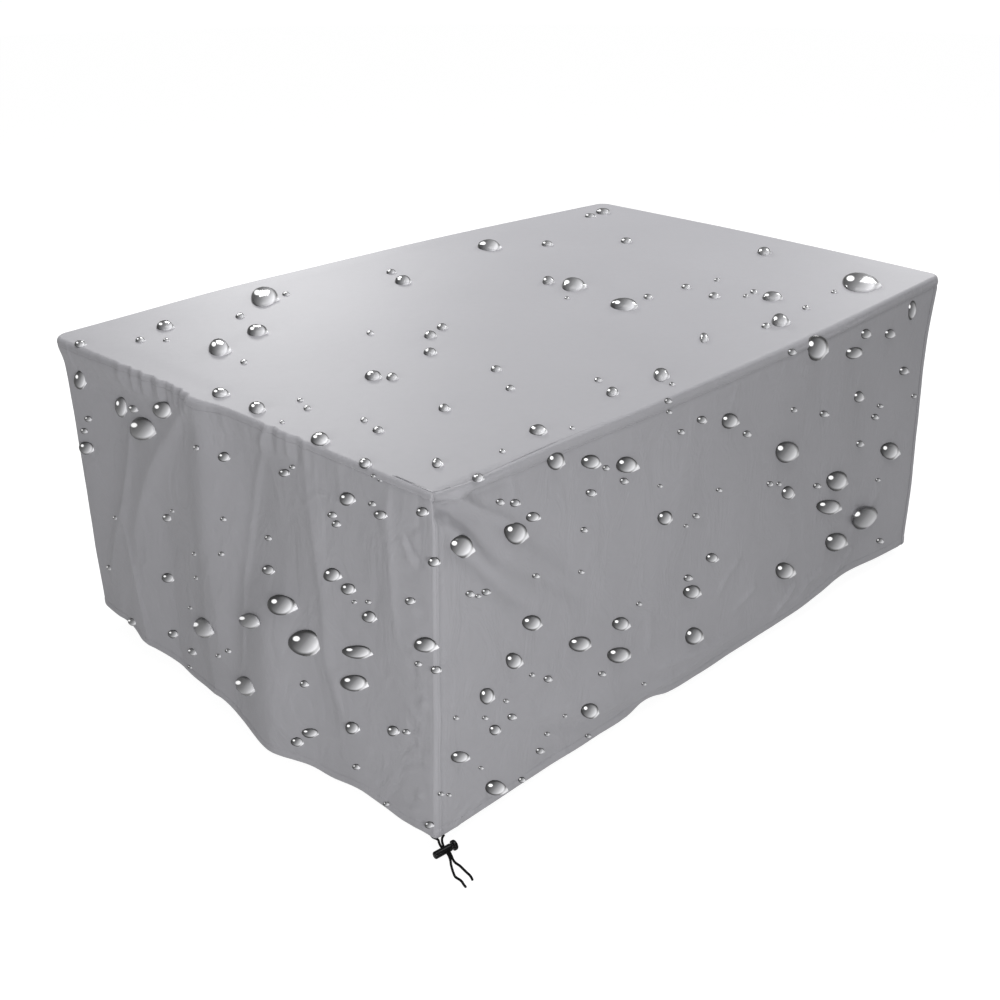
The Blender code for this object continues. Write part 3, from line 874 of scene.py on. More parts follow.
def weave_group() -> bpy.types.NodeTree:
    """Plain weave from the sheet's own lengths: a height and a mask of the threads."""
    inputs = {"Thread": 0.0012, "Slubs": 0.3}
    graph, source, sink = new_group("Plain weave", inputs, ("Height", "Threads"))
    place = graph.node("UVMap", uv_map="Cloth").outputs["UV"]
    parts = graph.node("SeparateXYZ", {0: place}).outputs
    rate = graph.maths("DIVIDE", math.pi, source["Thread"])
    warp, weft = (graph.maths("SINE", graph.maths("MULTIPLY", parts[axis], rate)) for axis in (0, 1))
    crossing = graph.maths("MULTIPLY", warp, weft)
    uneven = graph.maths("MULTIPLY", graph.noise(place, 260.0, 3.0), source["Slubs"])
    height = graph.maths("ADD", graph.maths("MULTIPLY", crossing, 0.5), uneven)
    graph.feed(sink, {"Height": height, "Threads": crossing})
    return graph.tree


def mottle_group() -> bpy.types.NodeTree:
    """Slow variation of tone over a surface, for cloth and plastic."""
    graph, source, sink = new_group("Mottle", {"Scale": 4.0, "Amount": 0.1}, ("Factor",))
    broad = graph.noise(graph.place(), source["Scale"], 4.0, Roughness=0.55)
    scaled = graph.maths("MULTIPLY", graph.maths("SUBTRACT", broad, 0.5), source["Amount"])
    graph.feed(sink, {"Factor": graph.maths("ADD", scaled, 1.0)})
    return graph.tree


@dataclass(frozen=True)
class ClothFinish:
    """Coated plain-weave cloth, matt with a faint sheen, a little uneven in tone."""

    colour: tuple = (0.355, 0.352, 0.374)
    roughness: float = 0.58
    thread: float = 0.0013
    thread_tone: float = 0.035
    weave_depth: float = 0.00008
    wrinkle_depth: float = 0.0050
    wrinkle_scale: float = 13.0
    hung: tuple = (1.0, 1.0, 0.60)
    mottle: tuple = (2.6, 0.10)
    speckle: tuple = (60.0, 0.05)

    def build(self, weave: bpy.types.NodeTree, mottle: bpy.types.NodeTree) -> bpy.types.Material:
        """The cloth's material, from the shared groups."""
        material, graph, shader = new_material("coated_cloth")
        height, crossing = graph.shared(weave, Thread=self.thread)
        slow, fine = (graph.shared(mottle, Scale=scale, Amount=amount)[0]
                      for scale, amount in (self.mottle, self.speckle))
        threads = graph.maths("ADD", graph.maths("MULTIPLY", crossing, self.thread_tone), 1.0)
        tone = graph.maths("MULTIPLY", graph.maths("MULTIPLY", slow, fine), threads)
        place = graph.node("Mapping", {"Vector": graph.place(), "Scale": self.hung}).outputs[0]
        crumple = graph.noise(place, self.wrinkle_scale, 3.0, Roughness=0.50, Distortion=1.2)
        facing = graph.node("SeparateXYZ", {0: graph.node("NewGeometry").outputs["True Normal"]})
        hangs = graph.ranged(facing.outputs[2], 0.35, 0.90, 1.0, 0.10)
        wide = graph.relief(graph.maths("MULTIPLY", crumple, hangs), self.wrinkle_depth)
        graph.feed(shader, {
            "Base Color": graph.scaled(self.colour, tone), "Roughness": self.roughness,
            "Normal": graph.relief(height, self.weave_depth, Normal=wide),
            "Sheen Weight": 0.12, "Sheen Roughness": 0.45, "Specular IOR Level": 0.35})
        return material


@dataclass(frozen=True)
class ThreadFinish:
    """Sewing thread of the cloth's colour, a shade darker."""

    colour: tuple = (0.300, 0.298, 0.318)
    roughness: float = 0.65
    twist: float = 900.0

    def build(self) -> bpy.types.Material:
        """The thread's material."""
        material, graph, shader = new_material("sewing_thread")
        wave = {"Vector": graph.place(), "Scale": self.twist, "Distortion": 1.0}
        tone = graph.ranged(graph.node("TexWave", wave).outputs[1], 0.0, 1.0, 0.85, 1.1)
        graph.feed(shader, {"Base Color": graph.scaled(self.colour, tone), "Roughness": self.roughness})
        return material


@dataclass(frozen=True)
class CordFinish:
    """Black braided elastic cord with a few pale flecks."""

    colour: tuple = (0.0035, 0.0035, 0.0038, 1.0)
    fleck: tuple = (0.022, 0.022, 0.023, 1.0)
    roughness: float = 0.80
    fuzz: float = 0.0002

    def build(self) -> bpy.types.Material:
        """The cord's material."""
        material, graph, shader = new_material("braided_cord")
        fibre = graph.noise(graph.place(), 1400.0, 2.0)
        graph.feed(shader, {
            "Base Color": graph.mix(graph.ranged(fibre, 0.58, 0.78), self.colour, self.fleck),
            "Normal": graph.relief(fibre, self.fuzz, Strength=0.6),
            "Roughness": self.roughness, "Specular IOR Level": 0.12})
        return material


@dataclass(frozen=True)
class PlasticFinish:
    """Black moulded plastic with a soft gloss and a little handling wear."""

    colour: tuple = (0.0035, 0.0035, 0.0038)
    roughness: float = 0.20
    reflects: float = 0.22
    grain: float = 0.00004

    def build(self, mottle: bpy.types.NodeTree) -> bpy.types.Material:
        """The lock's material, from the shared mottle."""
        material, graph, shader = new_material("moulded_plastic")
        tone = graph.shared(mottle, Scale=180.0, Amount=0.5)[0]
        graph.feed(shader, {
            "Base Color": graph.scaled(self.colour, tone),
            "Roughness": graph.maths("MULTIPLY", tone, self.roughness),
            "Normal": graph.relief(graph.noise(graph.place(), 1800.0, 2.0), self.grain),
            "Specular IOR Level": self.reflects})
        return material


@dataclass(frozen=True)
class WaterFinish:
    """Clear water beads whose light is painted: a painted round glint in a painted dark flank, and a
    painted bright far side that glows a little by emission.
    """

    # Painted shade: grey tones across each bead's disc, from the dark flank to the bright far side.
    painted_shade_tones: tuple = ((0.0, 0.050), (0.25, 0.100), (0.46, 0.250), (0.66, 0.540), (0.88, 0.970))
    # Painted shade: the grey of the dark outline near each bead's rim.
    outline: float = 0.055
    # Which way the painted light runs across the disc, from the dark flank to the bright far side.
    painted_light_slant: tuple = (0.86, -0.50, 0.0)
    # Place and size of the painted white highlight on the disc.
    painted_glint: tuple = (-0.50, 0.34, 0.0)
    painted_glint_size: float = 0.19
    # Colour of the painted highlight and of the painted glow.
    white: tuple = (1.0, 1.0, 1.0)

    def build(self) -> bpy.types.Material:
        """The beads' material: painted highlight, painted shade and a weak painted glow by emission,
        drawn on each bead's own disc.
        """
        material, graph, shader = new_material("water_bead")
        disc = graph.node("Attribute", attribute_name="disc").outputs["Vector"]
        slope, radius, away = (
            graph.node("VectorMath", {0: disc, 1: other}, operation=kind).outputs["Value"]
            for kind, other in (("DOT_PRODUCT", self.painted_light_slant), ("LENGTH", (0.0, 0.0, 0.0)),
                                ("DISTANCE", self.painted_glint)))
        # How far along the painted light a place on the disc lies; the ramp turns it into painted
        # shade.
        level = graph.maths("MULTIPLY_ADD", slope, 0.5, 0.5)
        painted_shade_ramp = graph.node("ValToRGB", {0: level})
        stops = painted_shade_ramp.color_ramp.elements
        while len(stops) < len(self.painted_shade_tones):
            stops.new(0.5)
        for stop, (place, tone) in zip(stops, self.painted_shade_tones):
            stop.position, stop.color = place, (tone, tone, 1.03 * tone, 1.0)
        # Painted shade: a dark outline near the rim, faded out on the bright far side.
        rim = graph.maths("MULTIPLY", graph.ranged(radius, 0.72, 0.89),
                          graph.ranged(level, 0.86, 0.98, 1.0, 0.1))
        painted_shade = graph.mix(rim, painted_shade_ramp.outputs[0], (*(self.outline,) * 3, 1.0))
        # Painted highlight, and a painted glow: the glint and the bright far side emit light.
        painted_glint = graph.ranged(away, 0.75 * self.painted_glint_size, 1.25 * self.painted_glint_size, 1.0, 0.0)
        painted_far_glow = graph.ranged(level, 0.70, 0.96, 0.0, 0.16)
        painted_glow = graph.maths("ADD", graph.maths("MULTIPLY", painted_glint, 0.45), painted_far_glow)
        graph.feed(shader, {
            "Base Color": graph.mix(painted_glint, painted_shade, (*self.white, 1.0)),
            "Emission Color": graph.scaled(self.white, painted_glow), "Emission Strength": 1.0,
            "Roughness": 0.10, "IOR": 1.33, "Specular IOR Level": 0.35})
        return material


# ------------------------------------------------------------------ meshes
def dress(item: bpy.types.Object, body: str, nodes: Sequence[str] = ()) -> None:
    """Let a piece ride on a body and hide the solids that it stands for."""
    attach(item, body)
    if nodes:
        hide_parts(*nodes)


def linked(name: str, data: bpy.types.ID) -> bpy.types.Object:
    """Object of a mesh, a light or a camera, linked to the scene."""
    item = bpy.data.objects.new(name, data)
    bpy.context.scene.collection.objects.link(item)
    return item


def new_object(name: str, mesh: bpy.types.Mesh, material: bpy.types.Material) -> bpy.types.Object:
    """Object of a mesh with one material, shaded smooth and linked to the scene."""
    mesh.materials.append(material)
    mesh.shade_smooth()
    return linked(name, mesh)


def from_bmesh(name: str, bm: bmesh.types.BMesh) -> bpy.types.Mesh:
    """Mesh of a finished bmesh, which is freed."""
    mesh = bpy.data.meshes.new(name)
    bm.to_mesh(mesh)
    bm.free()
    return mesh


def from_faces(name: str, points: np.ndarray, faces: list) -> bpy.types.Mesh:
    """Mesh of points and of faces by their corner numbers."""
    mesh = bpy.data.meshes.new(name)
    mesh.from_pydata(points.tolist(), [], faces)
    mesh.update()
    return mesh


def quads(columns: int, rows: int, start: int = 0, closed: bool = False) -> np.ndarray:
    """Corner numbers of a grid's quads; the grid's points run down one column after another."""
    last = columns if closed else columns - 1
    column, row = np.meshgrid(np.arange(last), np.arange(rows - 1), indexing="ij")
    here = start + column * rows + row
    ahead = start + ((column + 1) % columns) * rows + row
    return np.stack((here, here + 1, ahead + 1, ahead), axis=-1).reshape(-1, 4)


def travelled(points: np.ndarray) -> np.ndarray:
    """Distance walked to each point of a line."""
    steps = np.linalg.norm(np.diff(points, axis=0), axis=1)
    return np.concatenate(([0.0], np.cumsum(steps)))


def graded(length: float, fine: float, coarse: float, reach: float) -> np.ndarray:
    """Places from 0 to a length, close together at both ends and wide apart in the middle."""
    places = [0.0]
    while places[-1] < length:
        near = min(places[-1], max(length - places[-1], 0.0))
        places.append(places[-1] + fine + (coarse - fine) * float(ease(near / reach)))
    places = np.array(places)
    return places * (length / places[-1])


def grid_normals(points: np.ndarray) -> np.ndarray:
    """Normals of a grid of points, from its columns and rows."""
    return unit(np.cross(np.gradient(points, axis=1), np.gradient(points, axis=0)))


# ------------------------------------------------------------------ the sheets
@dataclass(frozen=True)
class Panel:
    """A wall's sheet: its side, its ends, the spacing of its columns and rows, and its flat length.

    columns holds the spacing at the corners, the spacing between them and how far the first one
    reaches; rows holds the spacing at the lip and the hem, and the spacing between them.
    """

    side: Side
    cut: Cut
    columns: tuple
    rows: tuple
    flat: float


UNDER, OVER, END_FLAT = Cut.UNDER, Cut.OVER, WIDTH + 0.06
PANELS = {
    "long_panel_front": Panel(Side.FRONT, UNDER, (0.0028, 0.0064, 0.16), (0.0030, 0.0072), LENGTH),
    "long_panel_back": Panel(Side.BACK, UNDER, (0.0050, 0.0110, 0.16), (0.0040, 0.0095), LENGTH),
    "end_panel_left": Panel(Side.LEFT, OVER, (0.0026, 0.0052, 0.14), (0.0030, 0.0066), END_FLAT),
    "end_panel_right": Panel(Side.RIGHT, OVER, (0.0045, 0.0090, 0.14), (0.0040, 0.0090), END_FLAT),
}


@dataclass(frozen=True)
class Stitch:
    """One lock stitch: its pitch along the seam, its own length, its thread and how it stands."""

    pitch: float = 0.0045
    length: float = 0.0032
    radius: float = 0.00028
    dip: float = -0.0002
    rise: float = 0.0003

    def sew(self, bm: bmesh.types.BMesh, line: list) -> None:
        """Put stitches at an even pitch along one line of (point, normal) pairs, but not at a gap."""
        walked, due = 0.0, self.pitch
        for before, after in zip(line, line[1:]):
            if before is None or after is None:
                continue
            start, end = Vector(before[0]), Vector(after[0])
            step = (end - start).length
            while due <= walked + step and step > 0.0:
                place = start.lerp(end, (due - walked) / step)
                self.spindle(bm, place, (end - start).normalized(), Vector(after[1]))
                due += self.pitch
            walked += step

    def spindle(self, bm: bmesh.types.BMesh, place: Vector, way: Vector, normal: Vector) -> None:
        """A short four-sided thread that dips into the cloth at both ends."""
        side = way.cross(normal).normalized()
        rings = []
        for share, lift, size in ((-0.5, self.dip, 0.5), (0.0, self.rise, 1.0), (0.5, self.dip, 0.5)):
            centre = place + way * self.length * share + normal * lift
            ring = [centre + (side * math.cos(turn) + normal * math.sin(turn)) * self.radius * size
                    for turn in (0.0, 0.5 * math.pi, math.pi, 1.5 * math.pi)]
            rings.append([bm.verts.new(point) for point in ring])
        for low, high in zip(rings, rings[1:]):
            for index in range(4):
                ahead = (index + 1) % 4
                bm.faces.new((low[index], low[ahead], high[ahead], high[index]))
        bm.faces.new(rings[0][::-1])
        bm.faces.new(rings[-1])


@dataclass
class Cover:
    """The five sheets of the cover, and the stitching that joins them.

    A tuple of sizes ends with how wide or how far something reaches.  Before it come its height, its
    place or both.  top_columns and top_rows hold the finest and the coarsest spacing.
    """

    drape: Drape
    cloth: bpy.types.Material
    thread: bpy.types.Material
    arc_steps: int = 18
    lapped_steps: int = 12
    dent: tuple = (0.0007, 0.0020)
    puff: float = 0.0007
    edge_roll: tuple = (0.0022, 0.0035)
    foot: tuple = (0.0006, 0.010, 0.006)
    corner_lift: float = 0.0002
    corner_groove: tuple = (0.0006, 0.085)
    corner_band: tuple = (0.0001, 0.20)
    under_lip: float = 0.001
    lip_gap: float = 0.0004
    lip_room: float = 0.0008
    lip_puff: float = 0.0011
    lip_dent: tuple = (0.0010, 0.80, 0.09)
    lip_edge: tuple = (0.0009, 0.88, 0.12)
    lip_swell: tuple = (0.0030, 0.10, 0.09)
    groove_deep: tuple = (0.0042, 0.095, 0.075)
    groove_long: tuple = (0.0014, 0.0, 0.42)
    groove_start: tuple = (0.016, 0.014)
    groove_across: tuple = (0.001, 0.0054)
    lap_ends: tuple = (0.001, 0.012)
    casing_rows: int = 8
    casing_shares: tuple = (1.0, 1.0, 1.0, 1.0, 1.0, 0.9, 0.6, 0.3)
    top_columns: tuple = (0.0043, 0.0165)
    top_rows: tuple = (0.0043, 0.0058)
    skin_points: list = field(default_factory=list)
    skin_faces: list = field(default_factory=list)
    stitch_lines: list = field(default_factory=list)

    def arc(self, side: Side) -> list:
        """Stations around the corner where a side starts."""
        return [Station(side, 0.0, step / self.arc_steps) for step in range(self.arc_steps + 1)]

    def straight(self, side: Side, share: np.ndarray) -> list:
        """Stations between a side's two arcs, at shares of the way; the ends are left to the arcs."""
        near, far = CORNERS[side].most_round(), CORNERS[side.after()].most_round()
        places = near + share * (WALLS[side].span - near - far)
        return [Station(side, float(place)) for place in places[1:-1]]

    def lap_end(self, side: Side) -> float:
        """How far the lap over the corner where a side starts reaches along both sides."""
        return CORNERS[side].most_round() + LAP_PAST

    def lap(self, side: Side, end: bool) -> list:
        """Stations of an end wall's lap on the side beside it, from the arc outwards."""
        reach = self.lap_end(side.after() if end else side)
        places = np.linspace(reach - LAP_PAST, reach, 4)[1:]
        if end:
            places = (WALLS[side].span - places)[::-1]
        return [Station(side, float(place)) for place in places]

    def stations(self, panel: Panel) -> list:
        """A wall's columns, from the corner where its side starts to the next one.

        Args:
            panel: The wall.

        Returns:
            Its stations.
        """
        side, after = panel.side, panel.side.after()
        length = WALLS[side].span - CORNERS[side].most_round() - CORNERS[after].most_round()
        middle = self.straight(side, graded(length, *panel.columns) / length)
        if panel.cut is Cut.UNDER:
            return self.arc(side)[-self.lapped_steps:] + middle + self.arc(after)[:self.lapped_steps]
        return (self.lap(side.before(), True) + self.arc(side) + middle
                + self.arc(after) + self.lap(after, False))

    def rows(self, spot: Station, fine: float, coarse: float) -> np.ndarray:
        """Drops of a wall's rows at a station, from under the lip to the hem."""
        depth, lip = self.drape.hem_depth(spot), self.drape.lip_depth(spot)
        tucked, low = self.drape.shoulder(spot) + self.under_lip, depth - HEM_HEIGHT
        upper = np.array((tucked, 0.5 * (tucked + lip), lip - self.lip_gap))
        start = lip + self.lip_gap + self.lip_room * self.drape.lip_step(spot)
        body = start + (low - start) * (graded(0.70, fine, coarse, 0.12) / 0.70)
        return np.concatenate((upper, body, np.linspace(low, depth, self.casing_rows + 1)[1:]))

    def wall_profile(self, spot: Station, drops: np.ndarray) -> np.ndarray:
        """Outward relief of a wall down one station: the casing and its edge, and the lip's foot."""
        up = self.drape.hem_depth(spot) - drops
        (dent, wide), (roll, over), (foot, below, reach) = self.dent, self.edge_roll, self.foot
        hem = -dent * bump(up - HEM_HEIGHT, wide)
        hem += self.puff * np.sin(np.pi * np.clip(up / HEM_HEIGHT, 0.0, 1.0)) ** 0.7
        hem -= roll * (1.0 - ease(up / over))
        lip = self.drape.lip_depth(spot)
        return hem + foot * self.drape.lip_step(spot) * bump(drops - lip - below, reach)

    def seam_profile(self, spot: Station, cut: Cut) -> float:
        """Relief across a corner seam: two stitched grooves with a full band between them."""
        if spot.turn is None or cut is Cut.UNDER:
            return 0.0
        first, second = CORNER_GROOVES[spot.side]
        (depth, narrow), (full, wide) = self.corner_groove, self.corner_band
        grooves = bump(spot.turn - first, narrow) + bump(spot.turn - second, narrow)
        band = bump(spot.turn - 0.5 * (first + second), wide)
        return float(self.corner_lift - depth * grooves + full * band)

    def under_share(self, spot: Station, own: Side) -> float:
        """1 where a long wall is under a lap, 0 where it is free."""
        if spot.turn is not None or spot.side != own:
            return 1.0
        nearest = min(spot.along - self.lap_end(own),
                      WALLS[own].span - spot.along - self.lap_end(own.after()))
        return 1.0 - float(ease((nearest - self.lap_ends[0]) / self.lap_ends[1]))

    def full_hem(self, spot: Station, panel: Panel) -> bool:
        """Whether the hem's casing is full at a station."""
        if panel.cut is Cut.UNDER:
            return self.under_share(spot, panel.side) < 0.5
        return spot.turn is None and spot.side == panel.side

    def wall(self, node: str, panel: Panel) -> bpy.types.Object:
        """One wall as a sheet.

        Args:
            node: The solid that it stands for.
            panel: Its cut and spacing.

        Returns:
            The piece.
        """
        stations = self.stations(panel)
        drops = np.array([self.rows(spot, *panel.rows) for spot in stations])
        grid = np.array([self.drape.column(*pair) for pair in zip(stations, drops)])
        count, rows = drops.shape
        walked = np.broadcast_to(travelled(grid[:, rows // 2])[:, None], drops.shape)
        normals = grid_normals(grid)
        lift = np.array([self.wall_profile(spot, row) + self.seam_profile(spot, panel.cut)
                         for spot, row in zip(stations, drops)])
        steps = np.array([self.drape.lip_step(spot) for spot in stations])
        lift[:, :3] -= LAYER
        lift[:, 3] -= (0.05 + 0.65 * steps) * LAYER
        lift[:, 4] -= 0.2 * steps * LAYER
        if panel.cut is Cut.UNDER:
            under = np.array([self.under_share(spot, panel.side) for spot in stations])
            lift -= LAYER * under[:, None]
        grid = grid + normals * lift[:, :, None]
        item = self.sheet(node, grid.reshape(-1, 3), quads(count, rows),
                          np.stack((walked, drops), axis=-1).reshape(-1, 2))
        full = [self.full_hem(spot, panel) for spot in stations]
        group = item.vertex_groups.new(name="casing")
        for back, share in enumerate(self.casing_shares):
            chosen = [(column + 1) * rows - 1 - back for column in range(count) if full[column]]
            group.add(chosen, share, "REPLACE")
        self.thicken(item, HEM_THICK, CLOTH / HEM_THICK)
        self.mark(grid[:, -self.casing_rows], normals[:, -self.casing_rows], full)
        return item

    def sheet(self, node: str, points: np.ndarray, faces: np.ndarray,
              lengths: np.ndarray) -> bpy.types.Object:
        """Sheet with the cloth's own lengths as its UV map; its outer face is kept for later.

        Args:
            node: The solid that it stands for.
            points: One row for each point.
            faces: Corner numbers, one row for each quad.
            lengths: Each point's place on the flat cloth.

        Returns:
            The piece, which has no thickness yet.
        """
        mesh = from_faces(node + "_cloth", points, faces.tolist())
        corners = np.empty(len(mesh.loops), dtype=np.int32)
        mesh.loops.foreach_get("vertex_index", corners)
        layer = mesh.uv_layers.new(name="Cloth")
        layer.data.foreach_set("uv", lengths[corners].astype(np.float32).ravel())
        self.skin_faces.append(faces + sum(len(rows) for rows in self.skin_points))
        self.skin_points.append(points)
        return new_object(node + "_cloth", mesh, self.cloth)

    def thicken(self, item: bpy.types.Object, thickness: float, thin: float = None) -> None:
        """Give a sheet its thickness, inwards; thin is the share outside the casing."""
        shell = item.modifiers.new("Cloth", "SOLIDIFY")
        shell.thickness, shell.offset, shell.use_even_offset = thickness, -1.0, False
        if thin is not None:
            shell.vertex_group, shell.thickness_vertex_group = "casing", thin

    def mark(self, points: np.ndarray, normals: np.ndarray, keep: Sequence[bool]) -> None:
        """Remember a line of stitching as (point, normal) pairs, and where it shows."""
        self.stitch_lines.append([(point, normal) if shows else None
                                  for point, normal, shows in zip(points, normals, keep)])

    def top(self) -> bpy.types.Object:
        """Top panel: a full grid over the plan, a rolled edge and the lip."""
        sides = [self.top_side(side) for side in Side]
        ring = [spot for spots in sides for spot in spots[:-1]]
        rolls = np.array([self.edge_profile(spot) for spot in ring])
        rim = np.concatenate((rolls[:, 0], rolls[:1, 0]))
        starts = np.cumsum([0] + [len(spots) - 1 for spots in sides])
        south, east, north, west = (rim[start:end + 1] for start, end in zip(starts, starts[1:]))
        north, west = north[::-1], west[::-1]
        u = self.shares(south, north)[:, None, None]
        v = self.shares(west, east)[None, :, None]
        sheet = ((1 - v) * south[:, None] + v * north[:, None] + (1 - u) * west[None] + u * east[None]
                 - (1 - u) * (1 - v) * south[0] - u * (1 - v) * south[-1]
                 - (1 - u) * v * north[0] - u * v * north[-1])
        shape = sheet.shape[:2]
        sheet[..., 2] = TOP_Z + self.top_relief(sheet.reshape(-1, 3)).reshape(shape)
        sheet[:, 0, 2], sheet[:, -1, 2], sheet[0, :, 2], sheet[-1, :, 2] = (
            south[:, 2], north[:, 2], west[:, 2], east[:, 2])
        start, (count, rows) = shape[0] * shape[1], rolls.shape[:2]
        number = np.arange(start).reshape(shape)
        edge = np.concatenate((number[:-1, 0], number[-1, :-1], number[:0:-1, -1], number[0, :0:-1]))
        first = start + np.arange(count) * (rows - 1)
        seam = np.stack((edge, first, np.roll(first, -1), np.roll(edge, -1)), axis=1)
        faces = (quads(*shape)[:, ::-1], seam, quads(count, rows - 1, start, closed=True))
        points = np.concatenate((sheet.reshape(-1, 3), rolls[:, 1:].reshape(-1, 3)))
        item = self.sheet("top_panel", points, np.concatenate(faces), points[:, :2])
        self.thicken(item, CLOTH)
        normals = grid_normals(np.concatenate((rolls, rolls[:1])))[:-1]
        self.mark(rolls[:, -3], normals[:, -3], [self.drape.lip_step(spot) > 0.6 for spot in ring])
        return item

    def top_side(self, side: Side) -> list:
        """Stations of one side of the top, from the middle of its first arc to that of its last."""
        half = self.arc_steps // 2
        steps = self.top_columns if side in (Side.FRONT, Side.BACK) else self.top_rows
        length = WALLS[side].span - 0.04
        middle = self.straight(side, graded(length, *steps, 0.22) / length)
        return self.arc(side)[half:] + middle + self.arc(side.after())[:half + 1]

    def shares(self, low: np.ndarray, high: np.ndarray) -> np.ndarray:
        """Mean share of the length walked along two edges."""
        walked = [travelled(edge) for edge in (low, high)]
        return 0.5 * (walked[0] / walked[0][-1] + walked[1] / walked[1][-1])

    def edge_profile(self, spot: Station) -> np.ndarray:
        """Points over the rolled edge and down the lip at a station."""
        radius, lip = self.drape.shoulder(spot), self.drape.lip_depth(spot)
        angle = np.linspace(0.0, 0.5 * math.pi, 8)
        tail = np.linspace(radius, lip, 10)[1:]
        drops = np.concatenate((radius * (1.0 - np.cos(angle)), tail))
        inset = np.concatenate((radius * (1.0 - np.sin(angle)), np.zeros(len(tail))))
        walked = np.concatenate((radius * angle, tail + (0.5 * math.pi - 1.0) * radius))
        along = np.clip((drops - radius) / max(lip - radius, 1e-6), 0.0, 1.0)
        (dent, low, wide), (edge, end, over) = self.lip_dent, self.lip_edge
        fullness = self.lip_puff * np.sin(np.pi * along) ** 0.8 - dent * bump(along - low, wide)
        fullness += edge * (1.0 - ease((along - end) / over)) * np.sqrt(along)
        if spot.side is Side.FRONT and spot.turn is None:
            swell, at, wide = self.lip_swell
            fullness += swell * np.sin(np.pi * along) * bump(spot.along - at, wide)
            drops = drops + self.groove(np.array(spot.along), -walked)
        return self.drape.column(spot, drops, inset - self.drape.lip_step(spot) * fullness)

    def top_relief(self, points: np.ndarray) -> np.ndarray:
        """Unevenness of the top: slow waves, and a dip along the front seam near the corner."""
        calm = ease((self.to_edge(points) - 0.004) / 0.05)
        waves = Ripple(seed=21, wave=0.42, height=0.0009).at(points)
        first, last = CORNERS[Side.FRONT], CORNERS[Side.RIGHT]
        along = points[:, 0] - first.top_x
        share = np.clip(along / (last.top_x - first.top_x), 0.0, 1.0)
        rolled = SHOULDER + self.drape.rounding * self.drape.swell(Side.FRONT, along, "rounder")
        rim = first.top_y + (last.top_y - first.top_y) * share + rolled
        rim -= WALLS[Side.FRONT].top_bow * np.sin(np.pi * share)
        return calm * waves - self.groove(along, points[:, 1] - rim)

    def groove(self, along: np.ndarray, inboard: np.ndarray) -> np.ndarray:
        """Depth of the front seam's groove at a place along it and inside the roll's start."""
        depth = sum(deep * bump(along - at, wide)
                    for deep, at, wide in (self.groove_deep, self.groove_long))
        (start, over), (inside, wide) = self.groove_start, self.groove_across
        return depth * ease((along - start) / over) * bump(inboard - inside, wide)

    def to_edge(self, points: np.ndarray) -> np.ndarray:
        """Rough distance of places on the top from its rim."""
        away = 0.5 * np.array((LENGTH, WIDTH)) - np.abs(points[:, :2])
        return np.clip(away.min(axis=1), 0.0, None)

    def build(self) -> list:
        made = [(self.top(), ["top_panel"], (LENGTH + 0.05, WIDTH + 0.05))]
        for node, panel in PANELS.items():
            made.append((self.wall(node, panel), [node], (panel.flat, DROP)))
        for item, nodes, flat in made:
            dress(item, COVER_BODY, nodes)
            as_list(nodes)
        return [item for item, _nodes, _flat in made]

    def skin(self) -> BVHTree:
        """All outer faces together, for finding where something sits."""
        points = np.concatenate(self.skin_points).tolist()
        return BVHTree.FromPolygons(points, np.concatenate(self.skin_faces).tolist())

    def stitches(self, stitch: Stitch = Stitch()) -> bpy.types.Object:
        """Rows of lock stitches along the hems and the lip, as one joined mesh."""
        bm = bmesh.new()
        for line in self.stitch_lines:
            stitch.sew(bm, line)
        mesh = from_bmesh("hem_and_lip_stitches", bm)
        item = new_object("hem_and_lip_stitches", mesh, self.thread)
        dress(item, COVER_BODY)
        return item


# ------------------------------------------------------------------ drawcord and lock
# The strands' routes, from the hem's casing through the lock to the free ends.
STRANDS = {
    "drawcord_left": (
        (-0.9014, -0.5862, -0.7303), (-0.9026, -0.5942, -0.7306), (-0.9005, -0.6003, -0.7314),
        (-0.8992, -0.6046, -0.7328), (-0.9012, -0.6088, -0.7351), (-0.9025, -0.6133, -0.7379),
        (-0.9033, -0.6187, -0.7398), (-0.9046, -0.6276, -0.7406), (-0.9060, -0.6366, -0.7406),
        (-0.9085, -0.6450, -0.7432), (-0.9115, -0.6512, -0.7462), (-0.9174, -0.6590, -0.7476),
        (-0.9246, -0.6699, -0.7476), (-0.9305, -0.6800, -0.7476), (-0.9346, -0.6891, -0.7476),
        (-0.9343, -0.6985, -0.7476), (-0.9348, -0.7066, -0.7476), (-0.9379, -0.7151, -0.7476),
        (-0.9398, -0.7232, -0.7476),
    ),
    "drawcord_right": (
        (-0.8826, -0.6036, -0.7303), (-0.8862, -0.6040, -0.7322), (-0.8915, -0.6072, -0.7325),
        (-0.8951, -0.6110, -0.7346), (-0.8972, -0.6151, -0.7376), (-0.8984, -0.6195, -0.7406),
        (-0.8997, -0.6284, -0.7403), (-0.9011, -0.6373, -0.7404), (-0.9036, -0.6457, -0.7432),
        (-0.9063, -0.6526, -0.7462), (-0.9082, -0.6613, -0.7476), (-0.9082, -0.6733, -0.7476),
        (-0.9101, -0.6861, -0.7476), (-0.9116, -0.6960, -0.7476), (-0.9128, -0.7048, -0.7476),
        (-0.9150, -0.7116, -0.7476), (-0.9183, -0.7184, -0.7476),
    ),
}


